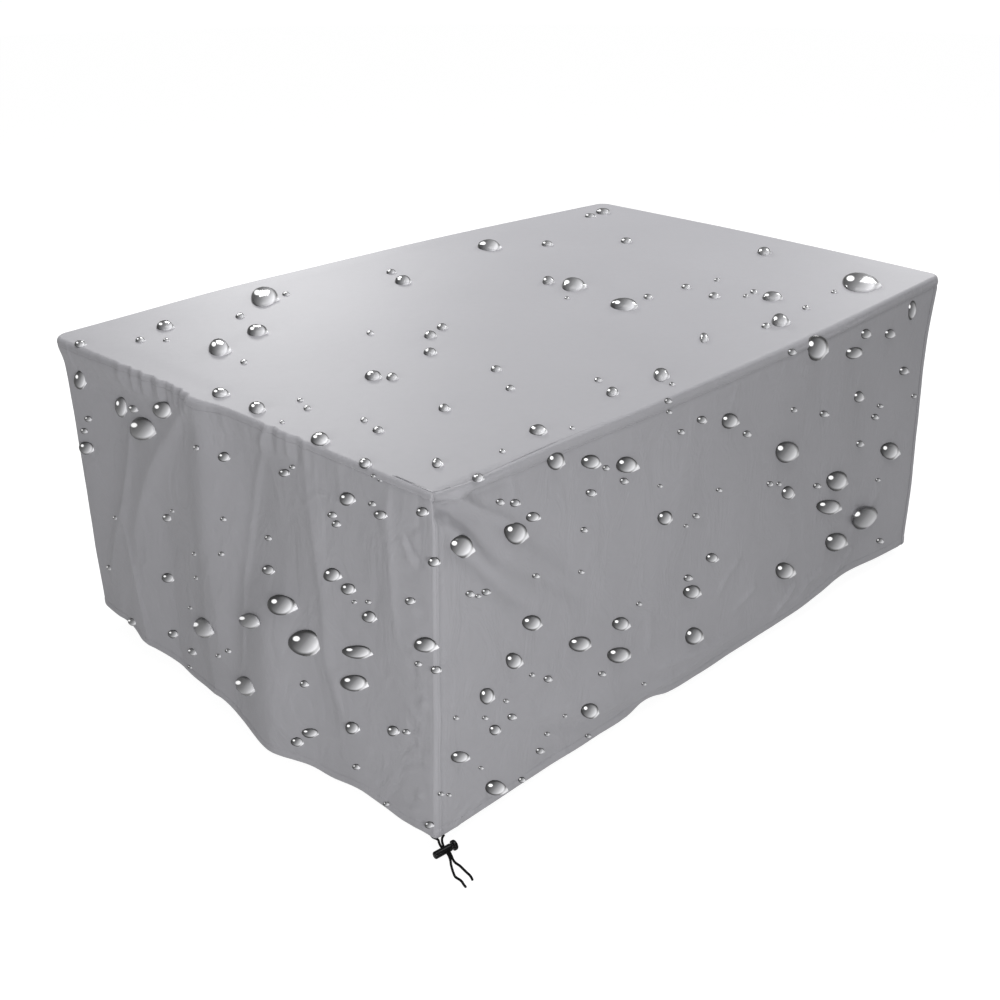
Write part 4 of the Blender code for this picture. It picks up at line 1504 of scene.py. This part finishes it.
def smooth_route(points: Sequence[tuple], step: float) -> np.ndarray:
    """Points at even steps along a Catmull-Rom curve through a route's points.

    Args:
        points: The route's own points.
        step: About how far apart the new points lie.

    Returns:
        One row for each point.
    """
    knots = np.array(points)
    knots = np.vstack((2.0 * knots[0] - knots[1], knots, 2.0 * knots[-1] - knots[-2]))
    share = np.linspace(0.0, 1.0, 12, endpoint=False)[:, None]
    dense = []
    for p0, p1, p2, p3 in zip(knots, knots[1:], knots[2:], knots[3:]):
        squared = (2.0 * p0 - 5.0 * p1 + 4.0 * p2 - p3) * share ** 2
        cubed = (3.0 * p1 - p0 - 3.0 * p2 + p3) * share ** 3
        dense.append(0.5 * (2.0 * p1 + (p2 - p0) * share + squared + cubed))
    dense = np.vstack(dense + [knots[-2]])
    walked = travelled(dense)
    places = np.linspace(0.0, walked[-1], max(2, round(walked[-1] / step)) + 1)
    return np.column_stack([np.interp(places, walked, dense[:, axis]) for axis in range(3)])


@dataclass
class Drawcord:
    """Two strands of braided elastic cord, from the hem's casing through the lock to their tails."""

    material: bpy.types.Material
    diameter: float = 0.0050
    sides: int = 20
    step: float = 0.0006
    plait: float = 0.0058
    relief: float = 0.00022

    def strand(self, name: str, points: Sequence[tuple]) -> bpy.types.Object:
        """One strand as a tube whose surface carries the braid.

        Args:
            name: The strand's node.
            points: Its route.

        Returns:
            The piece.
        """
        route = smooth_route(points, self.step)
        ways = unit(np.gradient(route, axis=0))
        side = unit(np.cross(ways, np.array((0.0, 0.0, 1.0))))
        top = np.cross(side, ways)
        walked = np.arange(len(route)) * self.step
        turn = np.linspace(0.0, 2.0 * math.pi, self.sides, endpoint=False)
        phase = 2.0 * math.pi * walked[:, None] / self.plait
        over = np.sin(2.0 * turn + phase) * np.sin(2.0 * turn - phase)
        radius = self.diameter / 2 - self.relief * (0.5 - 0.5 * over)
        radius *= self.tips(walked)[:, None]
        ring = side[:, None] * np.cos(turn)[:, None] + top[:, None] * np.sin(turn)[:, None]
        points = (route[:, None] + ring * radius[:, :, None]).reshape(-1, 3)
        number = np.arange(len(points)).reshape(-1, self.sides)
        ahead = np.roll(number, -1, axis=1)
        tube = np.stack((number[:-1], ahead[:-1], ahead[1:], number[1:]), axis=-1).reshape(-1, 4)
        faces = tube.tolist() + [number[0, ::-1].tolist(), number[-1].tolist()]
        item = new_object(name + "_braid", from_faces(name + "_braid", points, faces), self.material)
        dress(item, COVER_BODY, [name])
        length = float(travelled(route)[-1])
        return item

    def tips(self, walked: np.ndarray) -> np.ndarray:
        """Share of the radius along the strand: the free end is cut and melted round."""
        left = (walked[-1] - walked) / (0.4 * self.diameter)
        return np.sqrt(np.clip(1.0 - (1.0 - np.clip(left, 0.0, 1.0)) ** 2 * 0.75, 0.05, 1.0))

    def build(self) -> list:
        """Both strands."""
        return [self.strand(name, points) for name, points in STRANDS.items()]


@dataclass
class CordLock:
    """Barrel cord lock: a moulded barrel with a cross slot and a sprung plunger with a button."""

    material: bpy.types.Material
    end: tuple = (-0.9280, -0.6240, FLOOR_Z + 0.0078)
    aim: tuple = (0.0440, -0.0068, 0.0027)
    barrel_radius: float = 0.0075
    barrel_length: float = 0.0380
    floor: float = 0.0050
    bore: float = 0.0053
    button_radius: float = 0.0104
    button_length: float = 0.0095
    stem: float = 0.0050
    travel: float = 0.0040
    reach_in: float = 0.0260
    slot_at: float = 0.0262
    slot_height: float = 0.0060
    slot_width: float = 0.0106
    gap: float = 0.0003
    ring_places: tuple = (0.0060, 0.0078, 0.0096)
    ring_depth: float = 0.0003
    edge: float = 0.0003
    sides: int = 72

    def axis(self) -> Matrix:
        """Place and direction of the lock, its axis along local X."""
        turn = Vector(self.aim).to_track_quat("X", "Z").to_matrix().to_4x4()
        return Matrix.Translation(Vector(self.end)) @ turn

    def turned(self, name: str, profile: Sequence[tuple]) -> bpy.types.Object:
        """Closed turned piece about local X from (place, radius) pairs."""
        bm = bmesh.new()
        ends = [bm.verts.new((place, 0.0, radius)) for place, radius in profile]
        for first, second in zip(ends, ends[1:]):
            bm.edges.new((first, second))
        bmesh.ops.spin(bm, geom=bm.verts[:] + bm.edges[:], cent=(0, 0, 0), axis=(1, 0, 0),
                       angle=2.0 * math.pi, steps=self.sides, use_merge=True)
        bmesh.ops.remove_doubles(bm, verts=bm.verts[:], dist=0.00001)
        bmesh.ops.recalc_face_normals(bm, faces=bm.faces[:])
        return new_object(name, from_bmesh(name, bm), self.material)

    def cut(self, item: bpy.types.Object, start: float, end: float) -> None:
        """Cut the cross slot for the two strands, then round what edges are left."""
        bm = bmesh.new()
        size = Matrix.Diagonal((end - start, 0.05, self.slot_height, 1.0))
        shift = Matrix.Translation((0.5 * (start + end), 0.0, 0.0))
        bmesh.ops.create_cube(bm, size=1.0, matrix=shift @ size)
        tool = linked("slot_tool", from_bmesh("slot_tool", bm))
        knife = item.modifiers.new("Slot", "BOOLEAN")
        knife.operation, knife.solver, knife.object = "DIFFERENCE", "EXACT", tool
        edge = item.modifiers.new("Edge", "BEVEL")
        edge.width, edge.segments = self.edge, 2
        edge.limit_method, edge.angle_limit = "ANGLE", math.radians(40.0)
        graph = bpy.context.evaluated_depsgraph_get()
        done = bpy.data.meshes.new_from_object(item.evaluated_get(graph))
        item.modifiers.clear()
        item.data = done
        bpy.data.objects.remove(tool)
        done.transform(self.axis())

    def arc(self, place: float, radius: float, corner: float, ahead: bool, steps: int = 5) -> list:
        """Rounded outer edge of a turned profile, towards the far end or back from it."""
        turns = [0.5 * math.pi * step / steps for step in range(steps + 1)]
        inner = radius - corner
        if ahead:
            return [(place - corner + corner * math.sin(turn), inner + corner * math.cos(turn))
                    for turn in turns]
        return [(place + corner - corner * math.cos(turn), inner + corner * math.sin(turn))
                for turn in turns]

    def build(self) -> list:
        """Barrel and plunger, each in place of its node."""
        first, last = self.slot_at - 0.5 * self.slot_width, self.slot_at + 0.5 * self.slot_width
        outer, deep, length = self.barrel_radius, self.ring_depth, self.barrel_length
        grooves = [(place + step * deep, outer - down) for place in self.ring_places
                   for step, down in ((0, 0.0), (1, deep), (2, 0.0))]
        barrel = self.turned("cord_lock_barrel_shell", (
            (0.0, 0.0), *self.arc(0.0, outer, 0.0030, False), *grooves,
            *self.arc(length, outer, 0.0010, True),
            (length, self.bore), (self.floor, self.bore), (self.floor, 0.0)))
        self.cut(barrel, first, last)
        dress(barrel, COVER_BODY, ["cord_lock_barrel"])
        face = length + self.travel + self.gap
        button = face + self.button_length
        inner = face - self.travel - self.reach_in
        plunger = self.turned("cord_lock_plunger_button", (
            (inner, 0.0), (inner, self.stem - 0.0008), (inner + 0.0008, self.stem),
            (face, self.stem), *self.arc(face, self.button_radius, 0.0012, False),
            *self.arc(button - 0.0012, self.button_radius, 0.0034, True),
            (button - 0.0010, self.button_radius - 0.0046), (button - 0.0004, 0.0030),
            (button - 0.0004, 0.0)))
        self.cut(plunger, first, last + self.travel)
        dress(plunger, PLUNGER_BODY, ["cord_lock_plunger"])
        return [barrel, plunger]


# ------------------------------------------------------------------ camera and light
@dataclass(frozen=True)
class Viewpoint:
    """The photograph's camera; its picture is 1000 by 1000."""

    place: tuple = (-2.197, -2.054, 0.930)
    heading: float = 45.32
    dip: float = 25.85
    lens: float = 46.58
    sensor: float = 36.0
    side: float = 1000.0

    def axes(self) -> tuple:
        """Forward, right and up of the view."""
        heading, dip = math.radians(self.heading), math.radians(self.dip)
        right = Vector((math.cos(heading), -math.sin(heading), 0.0))
        forward = Vector((math.sin(heading) * math.cos(dip), math.cos(heading) * math.cos(dip),
                          -math.sin(dip)))
        return forward, right, right.cross(forward)

    def scale(self) -> float:
        """Width of one of the picture's points at a distance of 1."""
        return self.sensor / self.lens / self.side

    def ray(self, across: float, down: float) -> Vector:
        """Direction through a place in the picture."""
        forward, right, up = self.axes()
        scale, half = self.scale(), 0.5 * self.side
        return (forward + right * (across - half) * scale + up * (half - down) * scale).normalized()

    def build(self) -> None:
        """Create the camera and make it the scene's."""
        data = bpy.data.cameras.new("view")
        data.lens, data.sensor_width = self.lens, self.sensor
        data.clip_start, data.clip_end = 0.05, 60.0
        forward, right, up = self.axes()
        turn = Matrix((right, up, -forward)).transposed().to_4x4()
        camera = linked("view", data)
        camera.matrix_world = Matrix.Translation(Vector(self.place)) @ turn
        bpy.context.scene.camera = camera


@dataclass(frozen=True)
class Lamp:
    """A soft box: where it stands, what it faces, its sides and its power."""

    name: str
    place: tuple
    target: tuple
    wide: float
    high: float
    power: float

    def build(self) -> None:
        """Create the light."""
        data = bpy.data.lights.new(self.name, "AREA")
        data.shape, data.energy = "RECTANGLE", self.power
        data.size, data.size_y = self.wide, self.high
        away = Vector(self.place) - Vector(self.target)
        turn = away.to_track_quat("Z", "Y").to_matrix().to_4x4()
        linked(self.name, data).matrix_world = Matrix.Translation(Vector(self.place)) @ turn


@dataclass(frozen=True)
class Studio:
    """White floor, white surroundings and soft boxes."""

    sky: float = 0.26
    sky_shown: float = 1.02
    floor_glow: float = 0.36
    floor_shown: float = 0.93
    floor_radius: float = 14.0
    white: tuple = (1.0, 1.0, 1.0, 1.0)
    lamps: tuple = (
        Lamp("overhead_box", (0.25, -0.15, 3.3), (0.05, -0.05, 0.0), 2.8, 2.4, 100.0),
        Lamp("front_box", (-1.75, -2.9, 0.0), (-0.5, -0.6, -0.5), 0.9, 0.9, 33.0),
        Lamp("left_box", (-3.6, -0.8, 0.6), (-0.9, 0.0, -0.4), 0.8, 0.8, 19.0),
        Lamp("rear_box", (1.6, 3.4, 1.4), (0.0, 0.0, -0.3), 1.0, 0.8, 60.0),
        Lamp("right_box", (3.6, 0.6, 1.2), (0.9, 0.0, -0.4), 0.8, 0.8, 30.0),
    )

    def strength(self, graph: Graph, shown: float, given: float) -> bpy.types.NodeSocket:
        """Strength that differs between what the camera sees and what lights the scene."""
        return graph.ranged(graph.node("LightPath").outputs["Is Camera Ray"], 0.0, 1.0, given, shown)

    def build(self) -> None:
        """Create the world, the floor and the lamps."""
        scene = bpy.context.scene
        scene.view_settings.view_transform = "Standard"
        scene.world = bpy.data.worlds.new("studio")
        scene.world.use_nodes = True
        graph = Graph(scene.world.node_tree)
        graph.feed(graph.tree.nodes["Background"],
                   {0: self.white, 1: self.strength(graph, self.sky_shown, self.sky)})
        bm = bmesh.new()
        bmesh.ops.create_circle(bm, cap_ends=True, radius=self.floor_radius, segments=64,
                                matrix=Matrix.Translation((0.0, 0.0, FLOOR_Z - 0.0002)))
        material, graph, shader = new_material("white_floor")
        graph.feed(shader, {
            "Base Color": (0.20, 0.20, 0.20, 1.0), "Roughness": 0.9, "Emission Color": self.white,
            "Emission Strength": self.strength(graph, self.floor_shown, self.floor_glow)})
        floor = new_object("floor", from_bmesh("floor", bm), material)
        for lamp in self.lamps:
            lamp.build()


# ------------------------------------------------------------------ water
@dataclass(frozen=True)
class Bead:
    """A bead of water by its place in the picture and its size there."""

    across: float
    down: float
    wide: float
    high: float


# The large beads: across, down, wide and high in the picture.
BEADS = (
    # On the top.
    (264, 297, 27, 26), (219, 348, 20, 22), (257, 331, 19, 15), (165, 326, 17, 12),
    (489, 246, 22, 16), (573, 285, 24, 18), (548, 281, 12, 11), (624, 305, 26, 16),
    (403, 281, 15, 13), (373, 376, 16, 12), (392, 377, 12, 9), (257, 408, 16, 14),
    (220, 393, 17, 11), (444, 408, 11, 9), (661, 375, 16, 15), (612, 392, 12, 11),
    (704, 338, 9, 12), (772, 297, 20, 12), (780, 321, 17, 16), (860, 283, 36, 26),
    (764, 252, 13, 11), (538, 430, 17, 12), (437, 463, 11, 10), (478, 478, 12, 11),
    (603, 212, 13, 9), (590, 216, 10, 6),
    # On the left end.
    (142, 429, 31, 22), (162, 410, 20, 18), (121, 407, 13, 21), (320, 439, 19, 14),
    (86, 448, 14, 13), (203, 628, 31, 20), (249, 621, 28, 16), (281, 605, 27, 21),
    (305, 643, 34, 25), (357, 652, 30, 13), (245, 686, 27, 19), (245, 727, 16, 10),
    (332, 575, 17, 14), (348, 589, 14, 12), (369, 617, 14, 12), (354, 683, 26, 17),
    (310, 733, 17, 9), (297, 742, 12, 9), (352, 728, 14, 12), (425, 645, 23, 15),
    (393, 731, 12, 10), (347, 499, 16, 13), (80, 380, 12, 18), (365, 463, 13, 10),
    # On the front.
    (461, 547, 26, 22), (516, 533, 23, 23), (556, 461, 17, 18), (591, 462, 20, 14),
    (627, 465, 21, 17), (533, 517, 14, 10), (532, 623, 20, 15), (514, 661, 17, 16),
    (580, 644, 23, 15), (621, 624, 17, 14), (619, 655, 23, 16), (487, 696, 14, 17),
    (495, 730, 12, 10), (460, 757, 18, 12), (496, 788, 21, 15), (590, 711, 17, 16),
    (694, 636, 18, 17), (692, 592, 17, 14), (665, 518, 15, 14), (730, 421, 18, 15),
    (787, 452, 25, 22), (788, 493, 14, 13), (817, 348, 22, 24), (854, 353, 19, 12),
    (912, 310, 9, 19), (837, 481, 23, 19), (829, 507, 24, 15), (865, 518, 31, 23),
    (836, 542, 23, 18), (785, 571, 19, 17), (890, 451, 18, 17), (859, 397, 12, 11),
)

# Small beads: their width in the picture, then their places there.
SPRAY = {
    12.5: (
        (430, 335), (380, 515), (268, 570), (890, 334), (866, 334), (224, 457), (434, 562),
        (168, 578), (712, 558), (422, 512), (430, 352),
    ),
    10.5: (
        (591, 493), (284, 473), (378, 430), (714, 296), (410, 601), (133, 409), (515, 503),
        (626, 241), (904, 371), (167, 518), (702, 420), (132, 622), (173, 634), (436, 670),
        (80, 344), (192, 652), (496, 369), (547, 244), (442, 327),
    ),
    9.0: (
        (648, 297), (688, 578), (332, 515), (766, 326), (540, 751), (747, 434), (140, 340),
        (824, 414), (304, 684), (500, 502), (548, 679), (624, 481), (860, 444), (512, 717),
        (391, 272), (792, 352), (686, 287), (470, 594), (486, 592), (429, 825), (240, 316),
        (510, 388), (336, 524),
    ),
    7.5: (
        (880, 541), (602, 674), (598, 380), (307, 408), (268, 538), (244, 362), (770, 484),
        (109, 568), (356, 767), (88, 419), (681, 432), (372, 504), (668, 401), (794, 410),
        (406, 732), (196, 448), (806, 308), (84, 431), (875, 417), (754, 292), (584, 530),
        (418, 664), (364, 420), (370, 333), (606, 468), (522, 780), (286, 294), (817, 486),
        (696, 516), (536, 576),
    ),
    6.0: (
        (196, 578), (880, 406), (502, 451), (717, 280), (218, 656), (456, 718), (547, 734),
        (746, 296), (194, 554), (221, 554), (228, 651), (166, 340), (223, 519), (719, 490),
        (532, 675), (506, 701), (588, 736), (386, 804), (779, 484), (485, 718), (834, 292),
        (672, 384), (300, 400), (115, 518), (368, 602), (639, 604), (441, 794), (914, 396),
        (292, 467), (581, 572), (669, 412), (478, 596),
    ),
    5.0: (
        (282, 422), (380, 480), (449, 795), (567, 298), (878, 480), (572, 428), (660, 486),
        (172, 511), (686, 526), (190, 608), (373, 476), (190, 667), (354, 602), (644, 684),
        (565, 716), (481, 768),
    ),
}


@dataclass
class Droplets:
    """Points, disc places for the painted highlight and shade, and faces of many beads in one mesh;
    detail is a bead's turns and rings.
    """

    detail: tuple
    points: list = field(default_factory=list)
    disc: list = field(default_factory=list)
    faces: list = field(default_factory=list)
    count: int = 0

    def add(self, points: np.ndarray, disc: np.ndarray) -> None:
        """Add one bead."""
        turns, rows = self.detail[0], self.detail[1] + 1
        apex = self.count + len(points) - 1
        first = self.count + np.arange(turns) * rows
        last = first + rows - 1
        self.faces += quads(turns, rows, self.count, closed=True)[:, ::-1].tolist()
        self.faces += [[int(here), int(ahead), apex] for here, ahead in zip(last, np.roll(last, -1))]
        self.faces.append(first[::-1].tolist())
        self.points.append(points)
        self.disc.append(disc)
        self.count += len(points)

    def build(self, name: str, material: bpy.types.Material) -> bpy.types.Object:
        """The joined piece."""
        mesh = from_faces(name, np.concatenate(self.points), self.faces)
        # The disc attribute lays out the painted highlight and shade of the beads' material.
        layer = mesh.attributes.new("disc", "FLOAT_VECTOR", "POINT")
        layer.data.foreach_set("vector", np.concatenate(self.disc).astype(np.float32).ravel())
        item = new_object(name, mesh, material)
        dress(item, COVER_BODY)
        return item


@dataclass
class Water:
    """Beads of water on the cloth: the picture's at their places, and a plain scatter elsewhere.

    steep and flat hold a bead's height as a share of its smaller half, and its narrowest as a share of
    its widest, on a wall and on the top.
    """

    material: bpy.types.Material
    skin: BVHTree
    view: Viewpoint
    most_height: float = 0.016
    steep: tuple = (0.44, 0.50)
    flat: tuple = (0.85, 0.42)
    tail: float = -0.30
    tail_width: float = 0.22
    uneven: tuple = (0.045, 0.035)
    skirt: tuple = (0.98, -0.22)
    dome: tuple = (0.80, 0.95)
    more_count: int = 120
    more_reach: tuple = (0.5, 0.8)
    more_heights: tuple = (-0.68, -0.05)
    more_sizes: tuple = (0.0026, 0.0135)

    def bead(self, place: Vector, normal: Vector, seen: tuple, half: tuple, detail: tuple,
             dice: np.random.Generator) -> tuple:
        """One bead as a closed dome whose outline is an ellipse with a small tail as seen from one way.

        Args:
            place: Middle of the bead on the cloth.
            normal: The cloth's normal there.
            seen: Right and up of the view that the outline belongs to, and by which the painted
                highlight and shade are laid out on the disc.
            half: Half width and half height of the outline.
            detail: How many turns and rings it has.
            dice: The bead's own random draws.

        Returns:
            Points, and each point's place on the bead's disc, which places its painted highlight and
            shade.
        """
        turns, rings = detail
        centre, right, up, out = (np.array(axis) for axis in (place, *seen, normal))
        first = unit(right - out * (right @ out))
        second = np.cross(out, first)
        rises, narrowest = self.steep if out[2] < 0.5 else self.flat
        height = min(rises * min(half), self.most_height)
        shown = np.array(((first @ right, second @ right), (first @ up, second @ up)))
        left, sizes, turned = np.linalg.svd(shown)
        sizes = np.maximum(sizes, sizes[0] * narrowest)
        back = turned.T @ np.diag(1.0 / sizes) @ left.T
        lean = np.array((out @ right, out @ up))
        rise = height * np.linalg.norm(lean)
        lean = lean / max(np.linalg.norm(lean), 1e-6)
        whole = 2.0 * math.hypot(half[0] * lean[0], half[1] * lean[1])
        base = max((whole * whole - rise * rise) / (2.0 * whole), 0.3 * whole)
        squeeze = np.eye(2) + (2.0 * base / whole - 1.0) * np.outer(lean, lean)
        shift = -0.5 * (math.hypot(base, rise) - base) * lean
        around = np.linspace(0.0, 2.0 * math.pi, turns, endpoint=False)
        angle = self.tail + around
        wobble = 1.0 + sum(share * np.cos(lobes * angle + dice.uniform(0, 6.28))
                           for lobes, share in zip((2, 3), self.uneven))
        away = np.minimum(around, 2.0 * math.pi - around)
        level = np.linspace(0.0, 0.5 * math.pi, rings + 1)[:-1]
        radius = np.concatenate(([self.skirt[0]], np.cos(level) ** self.dome[0]))
        lift = np.concatenate(([self.skirt[1]], np.sin(level) ** self.dome[1]))
        point = dice.uniform(0.10, 0.26) * bump(away, self.tail_width)
        grid = radius * (wobble[:, None] + point[:, None] * (radius > 0.9))
        spread = np.stack((grid * np.cos(angle)[:, None] * half[0],
                           grid * np.sin(angle)[:, None] * half[1]), axis=-1)
        on_cloth = (spread @ squeeze.T + shift) @ back.T
        plane = np.array((first, second))
        points = centre + on_cloth @ plane + (lift * height)[:, None] * out
        apex = centre + (back @ shift) @ plane + out * height
        points = np.vstack((points.reshape(-1, 3), apex))
        # Disc places in the view's right and up, which lay out the bead's painted highlight and shade.
        reach = points - centre
        disc = (reach @ right / half[0], reach @ up / half[1], np.zeros(len(points)))
        return points, np.column_stack(disc)

    def hit(self, start: Vector, way: Vector) -> tuple:
        """Where a ray meets the cloth, the normal there on the ray's side, and how far it went."""
        place, normal, _face, reach = self.skin.ray_cast(start, way)
        if place is not None and normal.dot(way) > 0.0:
            normal = -normal
        return place, normal, reach

    def pictured(self, store: Droplets, row: Bead, dice: np.random.Generator) -> None:
        """Add a bead where a place in the picture meets the cloth.

        Args:
            store: Where it goes.
            row: The bead as the picture shows it.
            dice: Its random draws.
        """
        ray = self.view.ray(row.across, row.down)
        place, normal, reach = self.hit(Vector(self.view.place), ray)
        if place is None:
            return
        scale = 0.5 * reach * self.view.scale()
        forward, right, up = self.view.axes()
        # The view's right and up at the bead, which lay out its outline and its painted highlight and
        # shade.
        seen = [axis - forward * (axis.dot(ray) / forward.dot(ray)) for axis in (right, up)]
        half = row.wide * scale, row.high * scale
        store.add(*self.bead(place, normal, seen, half, store.detail, dice))

    def scatter(self, store: Droplets, dice: np.random.Generator) -> None:
        """Add beads on the two sides that the picture does not show."""
        for number in range(self.more_count):
            way = Vector((-1.0, 0.0, 0.0)) if number % 5 < 2 else Vector((0.0, -1.0, 0.0))
            reach = self.more_reach[0 if way.x else 1]
            aside = Vector((-way.y, way.x, 0.0)) * float(dice.uniform(-reach, reach))
            start = -2.2 * way + aside + Vector((0.0, 0.0, float(dice.uniform(*self.more_heights))))
            place, normal, _reach = self.hit(start, way)
            if place is None:
                continue
            forward = (way + Vector((0.0, 0.0, -0.48))).normalized()
            right = forward.cross(Vector((0.0, 0.0, 1.0))).normalized()
            size = self.more_sizes[0] + self.more_sizes[1] * float(dice.uniform()) ** 3
            half = (size * float(dice.uniform(1.0, 1.4)), size)
            # A stand-in view that lays out this bead's outline and its painted highlight and shade.
            seen = right, right.cross(forward)
            store.add(*self.bead(place, normal, seen, half, store.detail, dice))

    def build(self) -> list:
        """The large beads and the small ones, one joined piece each."""
        dice = np.random.default_rng(7)
        large, small = Droplets((32, 8)), Droplets((16, 5))
        for row in BEADS:
            self.pictured(large, Bead(*row), dice)
        for width, places in SPRAY.items():
            for across, down in places:
                self.pictured(small, Bead(across, down, width, 0.76 * width), dice)
        self.scatter(small, dice)
        return [large.build("water_beads_large", self.material),
                small.build("water_beads_small", self.material)]


def main() -> None:
    """Build the cover's pieces in order and report each."""
    logging.basicConfig(level=logging.INFO, format="%(name)s: %(message)s")
    view = Viewpoint()
    view.build()
    weave, mottle = weave_group(), mottle_group()
    pieces = Drawcord(CordFinish().build()).build()
    pieces += CordLock(PlasticFinish().build(mottle)).build()
    cover = Cover(Drape(), ClothFinish().build(weave, mottle), ThreadFinish().build())
    pieces += cover.build()
    pieces.append(cover.stitches())
    pieces += Water(WaterFinish().build(), cover.skin(), view).build()
    Studio().build()
    for piece in pieces:
        log.info("%s: %d faces", piece.name, len(piece.data.polygons))


if __name__ == "__main__":
    main()
